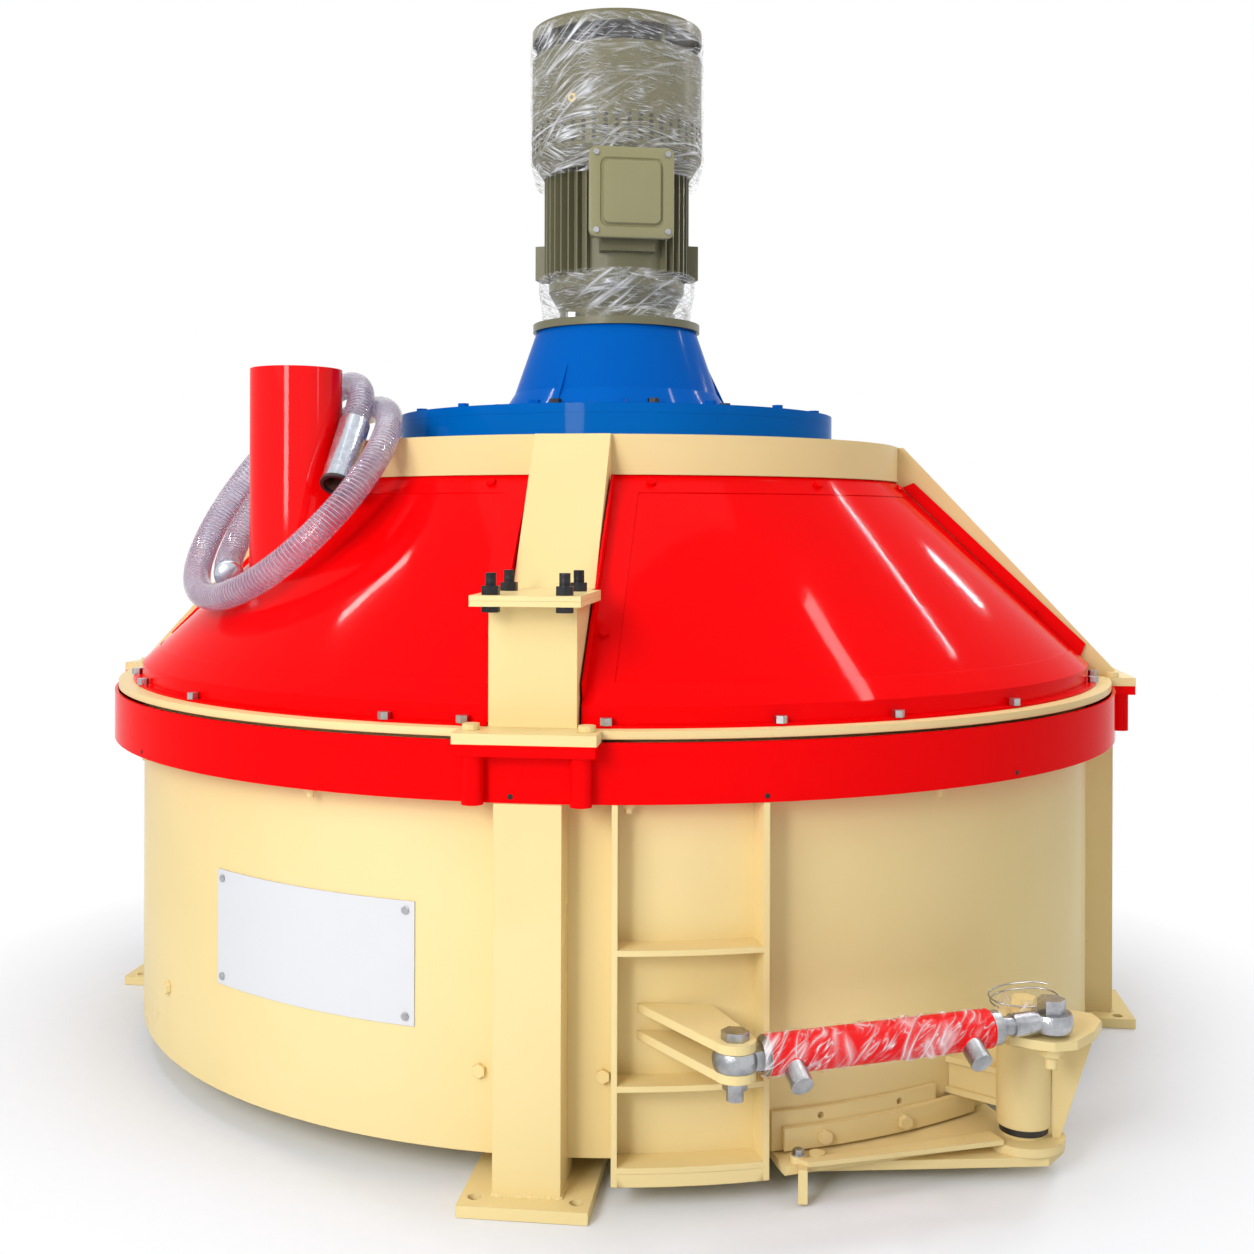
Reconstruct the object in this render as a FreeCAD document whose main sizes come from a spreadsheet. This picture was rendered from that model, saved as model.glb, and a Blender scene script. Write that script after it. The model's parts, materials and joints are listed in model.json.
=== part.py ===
import FreeCAD, Part

import math
import os

import Sketcher

# Planetary pan mixer, in millimetres: the mixer axis is Z, the floor is Z = 0, the front leg is on -Y.

DOC = FreeCAD.newDocument("planetary_mixer")
VECTOR = FreeCAD.Vector

SIZES = {
    # pan
    "pan_radius": 946, "pan_wall": 10, "pan_base": 53, "pan_floor": 12, "flange_width": 46,
    "flange_rise": 540, "flange_plate": 10, "liner_plate": 12, "liner_gap": 4, "wall_liner_height": 340,
    "fit_gap": 0.3, "liner_count": 8, "liner_bolt_rise": 110,
    # rim
    "band_step": 54, "band_wall": 6, "band_base": 583, "band_top": 672, "lip_plate": 8,
    "rim_inset": 7, "rim_width": 113, "rim_plate": 12, "bracket_past": 37, "bracket_half": 105,
    "bracket_plate": 16, "rib_tube_radius": 16, "rib_tube_offset": 79, "rim_bolt_step": 25,
    "rim_bolt_count": 12, "lip_bolt_count": 16, "screw_radius": 5,
    # cover and frame
    "ring_radius": 585, "ring_wall": 12, "ring_base": 1071, "ring_top": 1141, "ring_bore": 401,
    "cone_inset": 43, "cone_foot_level": 719, "cone_head_step": 5, "sheet": 4,
    "cover_lip_width": 16, "arm_half": 66, "panel_gap": 3.5, "fold_height": 22, "border_width": 45,
    "joggle": 1.5, "arm_depth": 110, "side_arm_past": 12, "joint_level": 876, "joint_plate": 8,
    "joint_past": 65, "joint_half": 81, "joint_arm_foot": 780, "post_inset": 28,
    "cover_bolt_drop": 22, "cover_bolt_side": 89, "cover_bolt_reach": 842,
    # legs
    "leg_half": 50, "leg_past": 5, "leg_inset": 46, "foot_past": 36, "foot_depth": 230,
    "foot_half": 95, "foot_plate": 18, "foot_hole_radius": 10, "foot_hole_edge": 30,
    "foot_hole_half": 74,
    # drive head
    "disc_radius": 450, "disc_plate": 47, "lid_plate": 18, "shaft_radius": 60, "shaft_play": 0.05,
    "bearing_radius": 110, "cone_flange_radius": 265, "cone_flange": 16, "cone_base_radius": 235,
    "cone_top_radius": 168, "cone_height": 180, "cone_wall": 14, "cone_ribs": 3, "cone_bolt_circle": 490,
    "cone_bolt_count": 8, "disc_bolt_circle": 860, "disc_bolt_count": 16,
    # planetary gearing
    "gear_module": 11, "ring_teeth": 66, "planet_teeth": 16, "gear_face": 48, "gear_base": 1050,
    "ring_gear_outer": 390, "case_outer": 400, "case_base": 1004, "drum_radius": 386, "drum_top": 1034,
    "drum_base": 838, "drum_wall": 12, "star_shaft_radius": 40, "star_reach": 530, "star_arm_half": 22,
    "star_arm_level": 672, "star_arms": 3, "paddle_width": 200, "paddle_height": 170,
    "paddle_plate": 14, "paddle_gap": 6, "hub_radius": 85, "hub_height": 90,
    # motor
    "motor_turn": 16, "motor_flange_radius": 175, "motor_flange": 16, "shield_radius": 142,
    "shield_height": 88, "body_radius": 136, "fin_reach": 152, "fin_count": 44, "fin_plate": 4,
    "body_height": 218, "cowl_radius": 178, "cowl_wall": 3, "cowl_neck": 38, "vent_height": 66,
    "drum_height": 141, "canopy_gap": 37, "canopy_rim": 27, "canopy_dome": 8, "box_width": 170,
    "box_height": 180, "box_front": 205, "box_lid": 18, "motor_shaft_radius": 21, "fan_radius": 150,
    # inlet tube
    "tube_radius": 84, "tube_wall": 5, "tube_x": -541, "tube_y": -449, "tube_base": 842,
    "tube_top": 1270,
    # discharge door
    "hinge_x": 731, "hinge_y": -762, "hinge_radius": 41, "hinge_bore": 22, "hinge_low": 70,
    "hinge_high": 197, "door_top": 52.5, "door_plate": 14, "door_reach": 400, "door_arm_plate": 14,
    "door_from": 112, "door_to": 205, "outlet_reach": 365, "outlet_from": 122, "outlet_to": 195,
    "lever_base": 222, "lever_plate": 14, "stiffener_plate": 8, "door_lug_radius": 12,
    "seal_height": 58, "clamp_height": 33.5, "seal_sweep": 17.6, "clamp_sweep": 21.2, "slot_radius": 5,
    # hydraulic cylinder
    "rear_pin_x": 302, "rear_pin_y": -1074, "lever_pin_x": 757, "lever_pin_y": -856,
    "cylinder_level": 257,
    "barrel_radius": 28, "barrel_start": 44, "barrel_end": 396, "rod_radius": 14, "eye_radius": 29,
    "eye_half": 13, "pin_radius": 12, "ear_plate": 13,
    # rib frame beside the outlet
    "frame_from": 7.2, "frame_to": 20, "frame_bar": 9, "frame_base": 34,
    # nameplate
    "plate_from": -36.3, "plate_to": -11.3, "plate_base": 230, "plate_height": 188, "plate_sheet": 2,
    # hose
    "hose_radius": 25, "sleeve_radius": 29.5, "sleeve_bore": 24, "sleeve_length": 150,
    "tail_sleeve_length": 50, "coil_x": -548, "coil_y": -450, "coil_z": 1028.5, "coil_lean": 51.7,
    "coil_facing": 40.9, "coil_radius": 234, "coil_growth": 9, "coil_pitch": 73,
}


class Size:
    """A length or angle together with the sheet formula that gives it."""

    def __init__(self, value, formula):
        self.value = value
        self.formula = formula

    def __float__(self):
        return float(self.value)

    def combine(self, other, sign, result):
        return Size(result, f"({self.formula} {sign} {as_size(other).formula})")

    def __add__(self, other):
        return self.combine(other, "+", self.value + as_size(other).value)

    def __sub__(self, other):
        return self.combine(other, "-", self.value - as_size(other).value)

    def __mul__(self, other):
        return self.combine(other, "*", self.value * as_size(other).value)

    def __truediv__(self, other):
        return self.combine(other, "/", self.value / as_size(other).value)

    def __radd__(self, other):
        return as_size(other) + self

    def __rsub__(self, other):
        return as_size(other) - self

    def __rmul__(self, other):
        return as_size(other) * self

    def __neg__(self):
        return as_size(0) - self


def as_size(value):
    return value if isinstance(value, Size) else Size(value, repr(value))


class Sheet:
    """The driving dimensions, kept in a spreadsheet with one alias each."""

    def __init__(self, sizes):
        self.values = sizes
        cells = DOC.addObject("Spreadsheet::Sheet", "Sizes")
        for row, (name, value) in enumerate(sizes.items(), start=1):
            cells.set(f"A{row}", name)
            cells.set(f"B{row}", str(value))
            cells.setAlias(f"B{row}", name)
        DOC.recompute()

    def __getattr__(self, name):
        return Size(self.values[name], f"Sizes.{name}")


S = Sheet(SIZES)

# The rim, cover, frame and legs are all stepped outward from the pan's own radius.
band_radius = S.pan_radius + S.band_step
rim_radius = band_radius - S.rim_inset
rim_inner = rim_radius - S.rim_width
bracket_reach = band_radius + S.bracket_past
flange_radius = S.pan_radius + S.flange_width
cone_foot_radius = rim_radius - S.cone_inset
cone_head_radius = S.ring_radius - S.cone_head_step
cover_lip = cone_foot_radius + S.cover_lip_width
side_arm_reach = rim_radius + S.side_arm_past
post_front = rim_radius - S.post_inset
joint_reach = post_front + S.joint_past
leg_front = band_radius + S.leg_past
leg_back = S.pan_radius - S.leg_inset
foot_reach = leg_front + S.foot_past
frame_front = band_radius
rim_bolt_circle = S.pan_radius + S.rim_bolt_step

# The finished nodes, in the order they are made: name and document object.
NODES = {}


def bind(thing, key, size):
    """Ties one property of an object to the sheet."""
    size = as_size(size)
    thing.setExpression(key, size.formula)


def put(thing, x=0, y=0, z=0, turn=0):
    """Places an object and turns it about the vertical."""
    thing.Placement = FreeCAD.Placement(VECTOR(0, 0, 0), FreeCAD.Rotation(VECTOR(0, 0, 1), 1))
    bind(thing, "Placement.Base.x", x)
    bind(thing, "Placement.Base.y", y)
    bind(thing, "Placement.Base.z", z)
    bind(thing, "Placement.Rotation.Angle", turn)
    return thing


def cylinder(radius, height, x=0, y=0, z=0, turn=0, sweep=360):
    solid = DOC.addObject("Part::Cylinder", "cylinder")
    bind(solid, "Radius", radius)
    bind(solid, "Height", height)
    bind(solid, "Angle", sweep)
    return put(solid, x, y, z, turn)


def box(length, width, height, x=0, y=0, z=0, turn=0):
    """A block that starts at its corner."""
    solid = DOC.addObject("Part::Box", "box")
    bind(solid, "Length", length)
    bind(solid, "Width", width)
    bind(solid, "Height", height)
    return put(solid, x, y, z, turn)


def join(name, parts):
    solid = DOC.addObject("Part::MultiFuse", name)
    solid.Shapes = parts
    return solid


def cut(name, base, *tools):
    solid = DOC.addObject("Part::Cut", name)
    solid.Base = base
    solid.Tool = tools[0] if len(tools) == 1 else join("tools", list(tools))
    return solid


def common(name, parts):
    solid = DOC.addObject("Part::MultiCommon", name)
    solid.Shapes = parts
    return solid


def group(name, parts):
    """Separate solids that share one node."""
    solids = DOC.addObject("Part::Compound", name)
    solids.Links = parts
    return solids


def shaped(name, shape):
    solid = DOC.addObject("Part::Feature", name)
    solid.Shape = shape
    return solid


def node(name, thing):
    thing.Label = name
    NODES[name] = thing
    return thing


def outline(sketch, points):
    """Draws a closed outline, with both places of every corner tied to the sheet."""
    count = len(points)
    flat = [(float(as_size(across)), float(as_size(up))) for across, up in points]
    for index in range(count):
        start = VECTOR(*flat[index], 0)
        end = VECTOR(*flat[(index + 1) % count], 0)
        sketch.addGeometry(Part.LineSegment(start, end), False)
    for index in range(count):
        sketch.addConstraint(Sketcher.Constraint("Coincident", index, 2, (index + 1) % count, 1))
    for index, (across, up) in enumerate(points):
        for kind, size, axis in (("DistanceX", across, -2), ("DistanceY", up, -1)):
            size = as_size(size)
            if abs(size.value) < 1e-9:
                sketch.addConstraint(Sketcher.Constraint("PointOnObject", index, 1, axis))
                continue
            place = sketch.addConstraint(Sketcher.Constraint(kind, -1, 1, index, 1, size.value))
            sketch.setExpression(f"Constraints[{place}]", size.formula)


def body_sketch(name, role, points, lift=0):
    body = DOC.addObject("PartDesign::Body", name)
    sketch = body.newObject("Sketcher::SketchObject", name + "_outline")
    plane = [feature for feature in body.Origin.OriginFeatures if feature.Role == role][0]
    sketch.AttachmentSupport = [(plane, "")]
    sketch.MapMode = "FlatFace"
    bind(sketch, "AttachmentOffset.Base.z", lift)
    outline(sketch, points)
    return body, sketch


def revolved(name, points, sweep=360, turn=0, x=0, y=0, z=0):
    """A turned piece: an outline of (radius, height) corners swept about the vertical."""
    body, sketch = body_sketch(name, "XZ_Plane", points)
    turned = body.newObject("PartDesign::Revolution", name + "_turn")
    turned.Profile = sketch
    turned.ReferenceAxis = (sketch, ["V_Axis"])
    bind(turned, "Angle", sweep)
    return put(body, x, y, z, turn)


def plate(name, points, thickness, x=0, y=0, z=0, turn=0):
    """A flat piece: a plan outline with a thickness, lying at height z."""
    body, sketch = body_sketch(name, "XY_Plane", points)
    pad = body.newObject("PartDesign::Pad", name + "_pad")
    pad.Profile = sketch
    bind(pad, "Length", thickness)
    return put(body, x, y, z, turn)


def web(name, points, width, lift=0, turn=0, x=0, y=0):
    """An upright piece: an outline of (outward, height) corners, centred on its own plane."""
    body, sketch = body_sketch(name, "XZ_Plane", points, lift)
    pad = body.newObject("PartDesign::Pad", name + "_pad")
    pad.Profile = sketch
    pad.SideType = "Symmetric"
    bind(pad, "Length", width)
    return put(body, x, y, 0, turn)


def ring_sector(name, outer, inner, height, z, start, sweep):
    solid = cylinder(outer, height, z=z, turn=start, sweep=sweep)
    return cut(name, solid, cylinder(inner, height, z=z))


def hexagon(across, height, x, y, z, turn=0):
    """A six-sided head or nut."""
    solid = DOC.addObject("Part::Prism", "hexagon")
    solid.Polygon = 6
    bind(solid, "Circumradius", as_size(across) / 1.7320508)
    bind(solid, "Height", height)
    return put(solid, x, y, z, turn)


def round_bar(radius, length, base=VECTOR(0, 0, 0)):
    """A small round bar along Z with twelve flats, which keeps what repeats light."""
    step = 2 * math.pi / 12
    corners = [base + VECTOR(radius * math.cos(side * step), radius * math.sin(side * step), 0)
               for side in range(13)]
    return Part.Face(Part.makePolygon(corners)).extrude(VECTOR(0, 0, length))


def turned_to(shape, degrees, radius=0, z=0):
    """A copy of a shape that faces outward along +X, carried round to an angle from the front leg."""
    copy = shape.copy()
    copy.translate(VECTOR(float(radius), 0, float(z)))
    copy.rotate(VECTOR(0, 0, 0), VECTOR(0, 0, 1), float(as_size(degrees)) - 90)
    return copy


def bolt_shape(across, head, shank_radius, length):
    """A hexagon bolt along Z: the head above Z = 0 and the shank below it."""
    corners = [VECTOR(across / 1.7320508 * math.cos(math.radians(60 * side)),
                      across / 1.7320508 * math.sin(math.radians(60 * side)), 0) for side in range(7)]
    prism = Part.Face(Part.makePolygon(corners)).extrude(VECTOR(0, 0, head))
    if length <= 0:
        return prism
    shank = round_bar(shank_radius, length, VECTOR(0, 0, -length))
    return prism.fuse(shank).removeSplitter()


# The four legs stand at these angles from the front leg.
LEG_TURNS = {"front": 0, "right": 90, "rear": 180, "left": 270}

# Angle of the sheet metal cone, and its unit vectors along and out from the slope.
CONE_DROP = (float(cone_head_radius) - float(cone_foot_radius),
             float(S.ring_base) - float(S.cone_foot_level))
CONE_LENGTH = math.hypot(*CONE_DROP)


def cone_radius(level, inward=0):
    """Radius of the cone sheet at a height, less a step inward."""
    slope = (cone_foot_radius - cone_head_radius) / (S.ring_base - S.cone_foot_level)
    return cone_foot_radius - (level - S.cone_foot_level) * slope - inward


# Pan: wall, floor and top flange in one welding, with the outlet cut through its floor.

def outlet_tool(reach, z, height, start=S.outlet_from, sweep=S.outlet_to - S.outlet_from):
    """The part of the floor that the door uncovers: a sector about the hinge, inside the pan wall."""
    sector = cylinder(reach, height, S.hinge_x, S.hinge_y, z, start, sweep)
    inside = cylinder(S.pan_radius - S.pan_wall - 10, height, z=z)
    return common("outlet", [sector, inside])


floor_top = S.pan_base + S.pan_floor
pan_inner = S.pan_radius - S.pan_wall
flange_base = S.pan_base + S.flange_rise
rim_top = S.band_top + S.bracket_plate
rim_base = rim_top - S.rim_plate

pan_solid = revolved("pan", [
    (0, S.pan_base), (S.pan_radius, S.pan_base), (S.pan_radius, flange_base),
    (flange_radius, flange_base), (flange_radius, flange_base + S.flange_plate),
    (S.pan_radius, flange_base + S.flange_plate), (S.pan_radius, rim_base), (pan_inner, rim_base),
    (pan_inner, floor_top), (0, floor_top)])
node("pan_shell", cut("pan_cut", pan_solid, outlet_tool(S.outlet_reach, S.pan_base - 5, 30)))

liner_sweep = 360 / float(S.liner_count)
liner_trim = math.degrees(float(S.liner_gap) / float(pan_inner))
floor_liners = []
wall_liners = []
for index in range(int(float(S.liner_count))):
    start = index * liner_sweep
    wall_liners.append(ring_sector("wall_liner", pan_inner - 0.2, pan_inner - S.liner_plate,
                                   S.wall_liner_height,
                                   floor_top + S.liner_plate + 2, start, liner_sweep - liner_trim))
    floor_liners.append(ring_sector("floor_liner", pan_inner - 14, 150, S.liner_plate, floor_top, start,
                                    liner_sweep - 3 * liner_trim))
floor_liners.append(cylinder(S.hub_radius + 60, S.liner_plate, z=floor_top))
outlet_through_liner = outlet_tool(S.outlet_reach + 2, floor_top - 1, S.liner_plate + 2)
node("wall_liners", group("wall_liner_set", wall_liners))
node("floor_liners", group("floor_liner_set",
                           [cut("floor_liner_cut", liner,
                                outlet_through_liner) for liner in floor_liners]))

# Rim: the red band with its bracket plates, and the cream cover flange that lies on it.

band_outline = [
    (S.pan_radius + 2, S.band_base), (band_radius, S.band_base), (band_radius, S.band_top),
    (band_radius - S.band_wall, S.band_top), (band_radius - S.band_wall, S.band_base + S.lip_plate),
    (S.pan_radius + 2, S.band_base + S.lip_plate)]
band_parts = [revolved("band", band_outline)]
red_plate_base = S.band_top - S.bracket_plate - 1
for turn in LEG_TURNS.values():
    band_parts.append(web("bracket_plate_red", [
        (band_radius - 14, red_plate_base), (bracket_reach, red_plate_base),
        (bracket_reach, S.band_top), (band_radius - 14, S.band_top)], (S.bracket_half - 2) * 2,
        turn=turn - 90))
    for side in (-1, 1):
        angle = math.radians(turn - 90)
        out = band_radius + 12
        across = S.rib_tube_offset * side
        band_parts.append(cylinder(
            S.rib_tube_radius, red_plate_base - S.band_base,
            out * math.cos(angle) - across * math.sin(angle),
            out * math.sin(angle) + across * math.cos(angle), S.band_base))
node("rim_band", join("rim_band_weld", band_parts))

rim_parts = [revolved("rim", [(rim_inner, rim_base), (rim_radius, rim_base), (rim_radius, rim_top),
                              (rim_inner, rim_top)])]
for turn in LEG_TURNS.values():
    rim_parts.append(web("bracket_plate_cream", [
        (rim_radius - 12, S.band_top), (bracket_reach, S.band_top), (bracket_reach, rim_top),
        (rim_radius - 12, rim_top)], S.bracket_half * 2, turn=turn - 90))
node("rim_flange", join("rim_flange_weld", rim_parts))

# Frame: top ring, arms, upper posts and legs.

node("frame_ring", revolved("ring", [
    (S.ring_radius, S.ring_base), (S.ring_radius, S.ring_top), (S.ring_bore, S.ring_top),
    (S.ring_bore, S.ring_top - S.ring_wall), (S.ring_radius - S.ring_wall, S.ring_top - S.ring_wall),
    (S.ring_radius - S.ring_wall, S.ring_base)]))

ring_room = (S.ring_radius + 0.1, S.ring_top - S.ring_base + 20)


def trimmed_arm(name, points, turn):
    """A sloping box arm, cut to lie against the outside of the top ring."""
    arm = web(name, points, S.arm_half * 2, turn=turn - 90)
    return cut(name + "_trim", arm, cylinder(*ring_room, z=S.ring_base - 0.05))


arm_head = S.ring_radius + 7
side_slope = (side_arm_reach - arm_head) / (S.ring_top - (rim_top + 12))


def side_arm(turn):
    inner_head = arm_head + (S.ring_top - S.ring_base) * side_slope - S.arm_depth
    return trimmed_arm("side_arm", [
        (arm_head, S.ring_top), (side_arm_reach, rim_top + 12), (side_arm_reach, rim_top),
        (side_arm_reach - S.arm_depth - 15, rim_top), (inner_head, S.ring_base),
        (inner_head, S.ring_top)], turn)


def joint_arm(turn):
    """A front or rear arm, which ends in a bolted plate above its post."""
    foot = S.joint_level + S.joint_plate
    arm = trimmed_arm("joint_arm", [
        (arm_head, S.ring_top), (S.joint_arm_foot, foot), (S.joint_arm_foot - S.arm_depth - 10, foot),
        (S.ring_radius - 65, S.ring_base), (S.ring_radius - 65, S.ring_top)], turn)
    return join("joint_arm_weld", [arm, joint_flange(S.joint_level, turn)])


def joint_flange(level, turn):
    """The bolted plate: wide outside the cover, narrow where it passes between two panels."""
    neck = S.joint_arm_foot + 44
    tail = S.joint_arm_foot - S.arm_depth
    points = [(tail, -S.arm_half), (neck, -S.arm_half), (neck, -S.joint_half),
              (joint_reach, -S.joint_half), (joint_reach, S.joint_half), (neck, S.joint_half),
              (neck, S.arm_half), (tail, S.arm_half)]
    return plate("joint_plate", points, S.joint_plate, z=level, turn=turn - 90)


def upper_post(turn):
    top = S.joint_level - S.joint_plate
    tail = 32
    post = web("upper_post", [
        (post_front, rim_top), (post_front, top), (cone_radius(top, tail), top),
        (cone_radius(S.cone_foot_level, tail), S.cone_foot_level),
        (cone_radius(S.cone_foot_level, tail), rim_top)], S.arm_half * 2, turn=turn - 90)
    return join("upper_post_weld", [post, joint_flange(top, turn)])


node("frame_arms", group("frame_arm_set", [
    side_arm(LEG_TURNS["right"]), side_arm(LEG_TURNS["left"]),
    joint_arm(LEG_TURNS["front"]), joint_arm(LEG_TURNS["rear"])]))
node("upper_posts", group("upper_post_set",
                          [upper_post(LEG_TURNS["front"]), upper_post(LEG_TURNS["rear"])]))


def leg(name, turn):
    """A square post notched round the pan, on a foot plate with two anchor holes."""
    post = web("leg_post", [
        (leg_back, S.foot_plate), (leg_front, S.foot_plate), (leg_front, S.band_base),
        (leg_back, S.band_base)], S.leg_half * 2, turn=turn - 90)
    foot = web("foot", [
        (foot_reach - S.foot_depth, 0), (foot_reach, 0), (foot_reach, S.foot_plate),
        (foot_reach - S.foot_depth, S.foot_plate)], S.foot_half * 2, turn=turn - 90)
    angle = math.radians(turn - 90)
    out = foot_reach - S.foot_hole_edge
    holes = []
    for side in (-1, 1):
        across = S.foot_hole_half * side
        holes.append(cylinder(S.foot_hole_radius, S.foot_plate + 10,
                              out * math.cos(angle) - across * math.sin(angle),
                              out * math.sin(angle) + across * math.cos(angle), -5))
    pan_room = cylinder(S.pan_radius + 0.1, S.band_base, z=S.pan_base - 0.1)
    weld = join("leg_weld", [cut("leg_notched", post, pan_room), foot])
    return node(name, cut("leg_drilled", weld, *holes))


for place, turn in LEG_TURNS.items():
    leg("leg_" + place, turn)

# Cover: four panels of folded sheet between the arms.


def corridor(half, turn, base=None, height=600):
    """A straight box along one arm, used to trim the panels beside it."""
    base = S.band_top if base is None else base
    return web("corridor", [(300, base), (1100, base), (1100, base + height), (300, base + height)],
               half * 2, turn=turn - 90)


def slope_point(along, out):
    """A point on the cone's outline: a length down from its head, and a step out from the sheet."""
    down = -CONE_DROP[0] / CONE_LENGTH, -CONE_DROP[1] / CONE_LENGTH
    return (cone_head_radius + along * down[0] + as_size(out) * -down[1],
            S.ring_base + along * down[1] + as_size(out) * down[0])


def panel(name, turn, extra=()):
    edge = S.arm_half + S.panel_gap
    cone_sheet = [
        (cone_head_radius, S.ring_base - 0.3), (cone_foot_radius, S.cone_foot_level),
        (cone_foot_radius, rim_top + S.sheet), (cover_lip, rim_top + S.sheet), (cover_lip, rim_top),
        (cone_foot_radius - S.sheet, rim_top), (cone_foot_radius - S.sheet, S.cone_foot_level - 2),
        (cone_head_radius - S.sheet * 1.45, S.ring_base - 0.3)]
    sheet = revolved("panel_sheet", cone_sheet, sweep=90, turn=turn - 90)
    field = revolved("panel_field", [slope_point(S.border_width, -S.joggle),
                                     slope_point(CONE_LENGTH - S.border_width, -S.joggle),
                                     slope_point(CONE_LENGTH - S.border_width, 5),
                                     slope_point(S.border_width, 5)], sweep=90, turn=turn - 90)
    inner = edge + S.border_width
    field = cut("panel_joggle", field, corridor(inner, turn), corridor(inner, turn + 90))
    trimmed = cut("panel_trim", sheet, field, corridor(edge, turn), corridor(edge, turn + 90), *extra)
    folds = []
    for along, side in ((turn, 1), (turn + 90, -1)):
        fold = web("panel_fold", [slope_point(14, -2), slope_point(CONE_LENGTH - 14, -2),
                                  slope_point(CONE_LENGTH - 24, S.fold_height),
                                  slope_point(24, S.fold_height)], S.sheet,
                   lift=(edge + S.sheet / 2) * -side, turn=along - 90)
        folds.append(cut("panel_fold_trim", fold, *extra) if extra else fold)
    return node(name, join("panel_weld", [trimmed] + folds))


tube_room = cylinder(S.tube_radius + 0.2, 500, S.tube_x, S.tube_y, S.tube_base - 40)
panel("cover_panel_front_right", LEG_TURNS["front"])
panel("cover_panel_rear_right", LEG_TURNS["right"])
panel("cover_panel_rear_left", LEG_TURNS["rear"])
panel("cover_panel_front_left", LEG_TURNS["left"], [tube_room])

tube = cylinder(S.tube_radius, S.tube_top - S.tube_base, S.tube_x, S.tube_y, S.tube_base)
tube_bore = cylinder(S.tube_radius - S.tube_wall, S.tube_top - S.tube_base + 20, S.tube_x, S.tube_y,
                     S.tube_base - 10)
node("inlet_tube", cut("inlet", tube, tube_bore))

# Fasteners: one node for each kind and finish.

strip_from = S.frame_to + 1.4
pan_bolts = []
for leg_turn in LEG_TURNS.values():
    for step in (-48, -5, 6.2):
        head = bolt_shape(19, 8, 6, 0)
        head.rotate(VECTOR(0, 0, 0), VECTOR(0, 1, 0), 90)
        pan_bolts.append(turned_to(head, leg_turn + step, S.pan_radius + 0.1,
                                   S.pan_base + S.liner_bolt_rise + 12))
for index in range(int(float(S.rim_bolt_count))):
    step = 360 / float(S.rim_bolt_count)
    nut = bolt_shape(19, 9, 6, 0)
    stud = round_bar(6, 8, VECTOR(0, 0, -8))
    angle = index * step + step * 0.28
    pan_bolts.append(turned_to(nut.fuse(stud), angle, rim_bolt_circle, float(S.band_base) - 9.1))
for leg_turn in LEG_TURNS.values():
    for side in (-1, 1):
        cap = round_bar(13, 9)
        cap.translate(VECTOR(float(rim_radius) + 3, side * (float(S.bracket_half) - 20),
                             float(rim_top) + 0.1))
        cap.rotate(VECTOR(0, 0, 0), VECTOR(0, 0, 1), leg_turn - 90)
        pan_bolts.append(cap)
strip_bolts = (strip_from + 4.8, strip_from + 13.2)
for degrees in strip_bolts:
    head = bolt_shape(20, 10, 8, 0)
    head.rotate(VECTOR(0, 0, 0), VECTOR(0, 1, 0), 90)
    pan_bolts.append(turned_to(head, degrees, S.pan_radius + 18.1, S.pan_base + 20))
node("pan_bolts", shaped("pan_bolt_set", Part.makeCompound(pan_bolts)))

lip_bolts = []
for leg_turn in LEG_TURNS.values():
    for step in (-40, -14, -6.4, 6.4, 22, 34):
        lip_bolts.append(turned_to(bolt_shape(17, 11, 5, 0), leg_turn + step,
                                   (float(cone_foot_radius) + float(cover_lip)) / 2 + 3,
                                   float(rim_top + S.sheet) + 0.1))
node("lip_bolts", shaped("lip_bolt_set", Part.makeCompound(lip_bolts)))

black_bolts = []
for leg_turn in (LEG_TURNS["front"], LEG_TURNS["rear"]):
    for out in (float(joint_reach) - 24, float(joint_reach) - 158):
        for side in (-54, 54):
            nut = bolt_shape(24, 13, 8, 0)
            nut.translate(VECTOR(0, 0, float(S.joint_plate) + 0.1))
            stud = round_bar(8, 20, VECTOR(0, 0, float(S.joint_plate) + 12))
            pieces = [nut.fuse(stud)]
            if out > float(post_front):
                bolt = bolt_shape(24, 9, 8, 0)
                bolt.translate(VECTOR(0, 0, -float(S.joint_plate) - 9.1))
                pieces.append(bolt)
            for piece in pieces:
                black_bolts.append(turned_to(piece, leg_turn + math.degrees(math.atan2(side, out)),
                                             math.hypot(side, out), S.joint_level))
cover_bolts = []
for leg_turn in LEG_TURNS.values():
    side_reach = math.hypot(float(S.cover_bolt_reach), float(S.cover_bolt_side))
    side_turn = math.degrees(math.atan2(float(S.cover_bolt_side), float(S.cover_bolt_reach)))
    side_along = (side_reach - float(cone_head_radius)) / -CONE_DROP[0] * CONE_LENGTH
    for step, along in ((13, S.cover_bolt_drop), (44.5, S.cover_bolt_drop), (76, S.cover_bolt_drop),
                        (side_turn, side_along), (90 - side_turn, side_along)):
        head = bolt_shape(15, 6, 4, 0)
        head.rotate(VECTOR(0, 0, 0), VECTOR(0, 1, 0), 46.5)
        across, up = slope_point(along, 0.2)
        cover_bolts.append(turned_to(head, leg_turn + step, across, up))
node("cover_bolts", shaped("cover_bolt_set", Part.makeCompound(cover_bolts)))

# Drive head: two blue discs, the gear cone, and the planetary gear train beneath them.

disc_top = S.ring_top + S.disc_plate
lid_top = disc_top + S.lid_plate
cone_top = lid_top + S.cone_height

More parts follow.
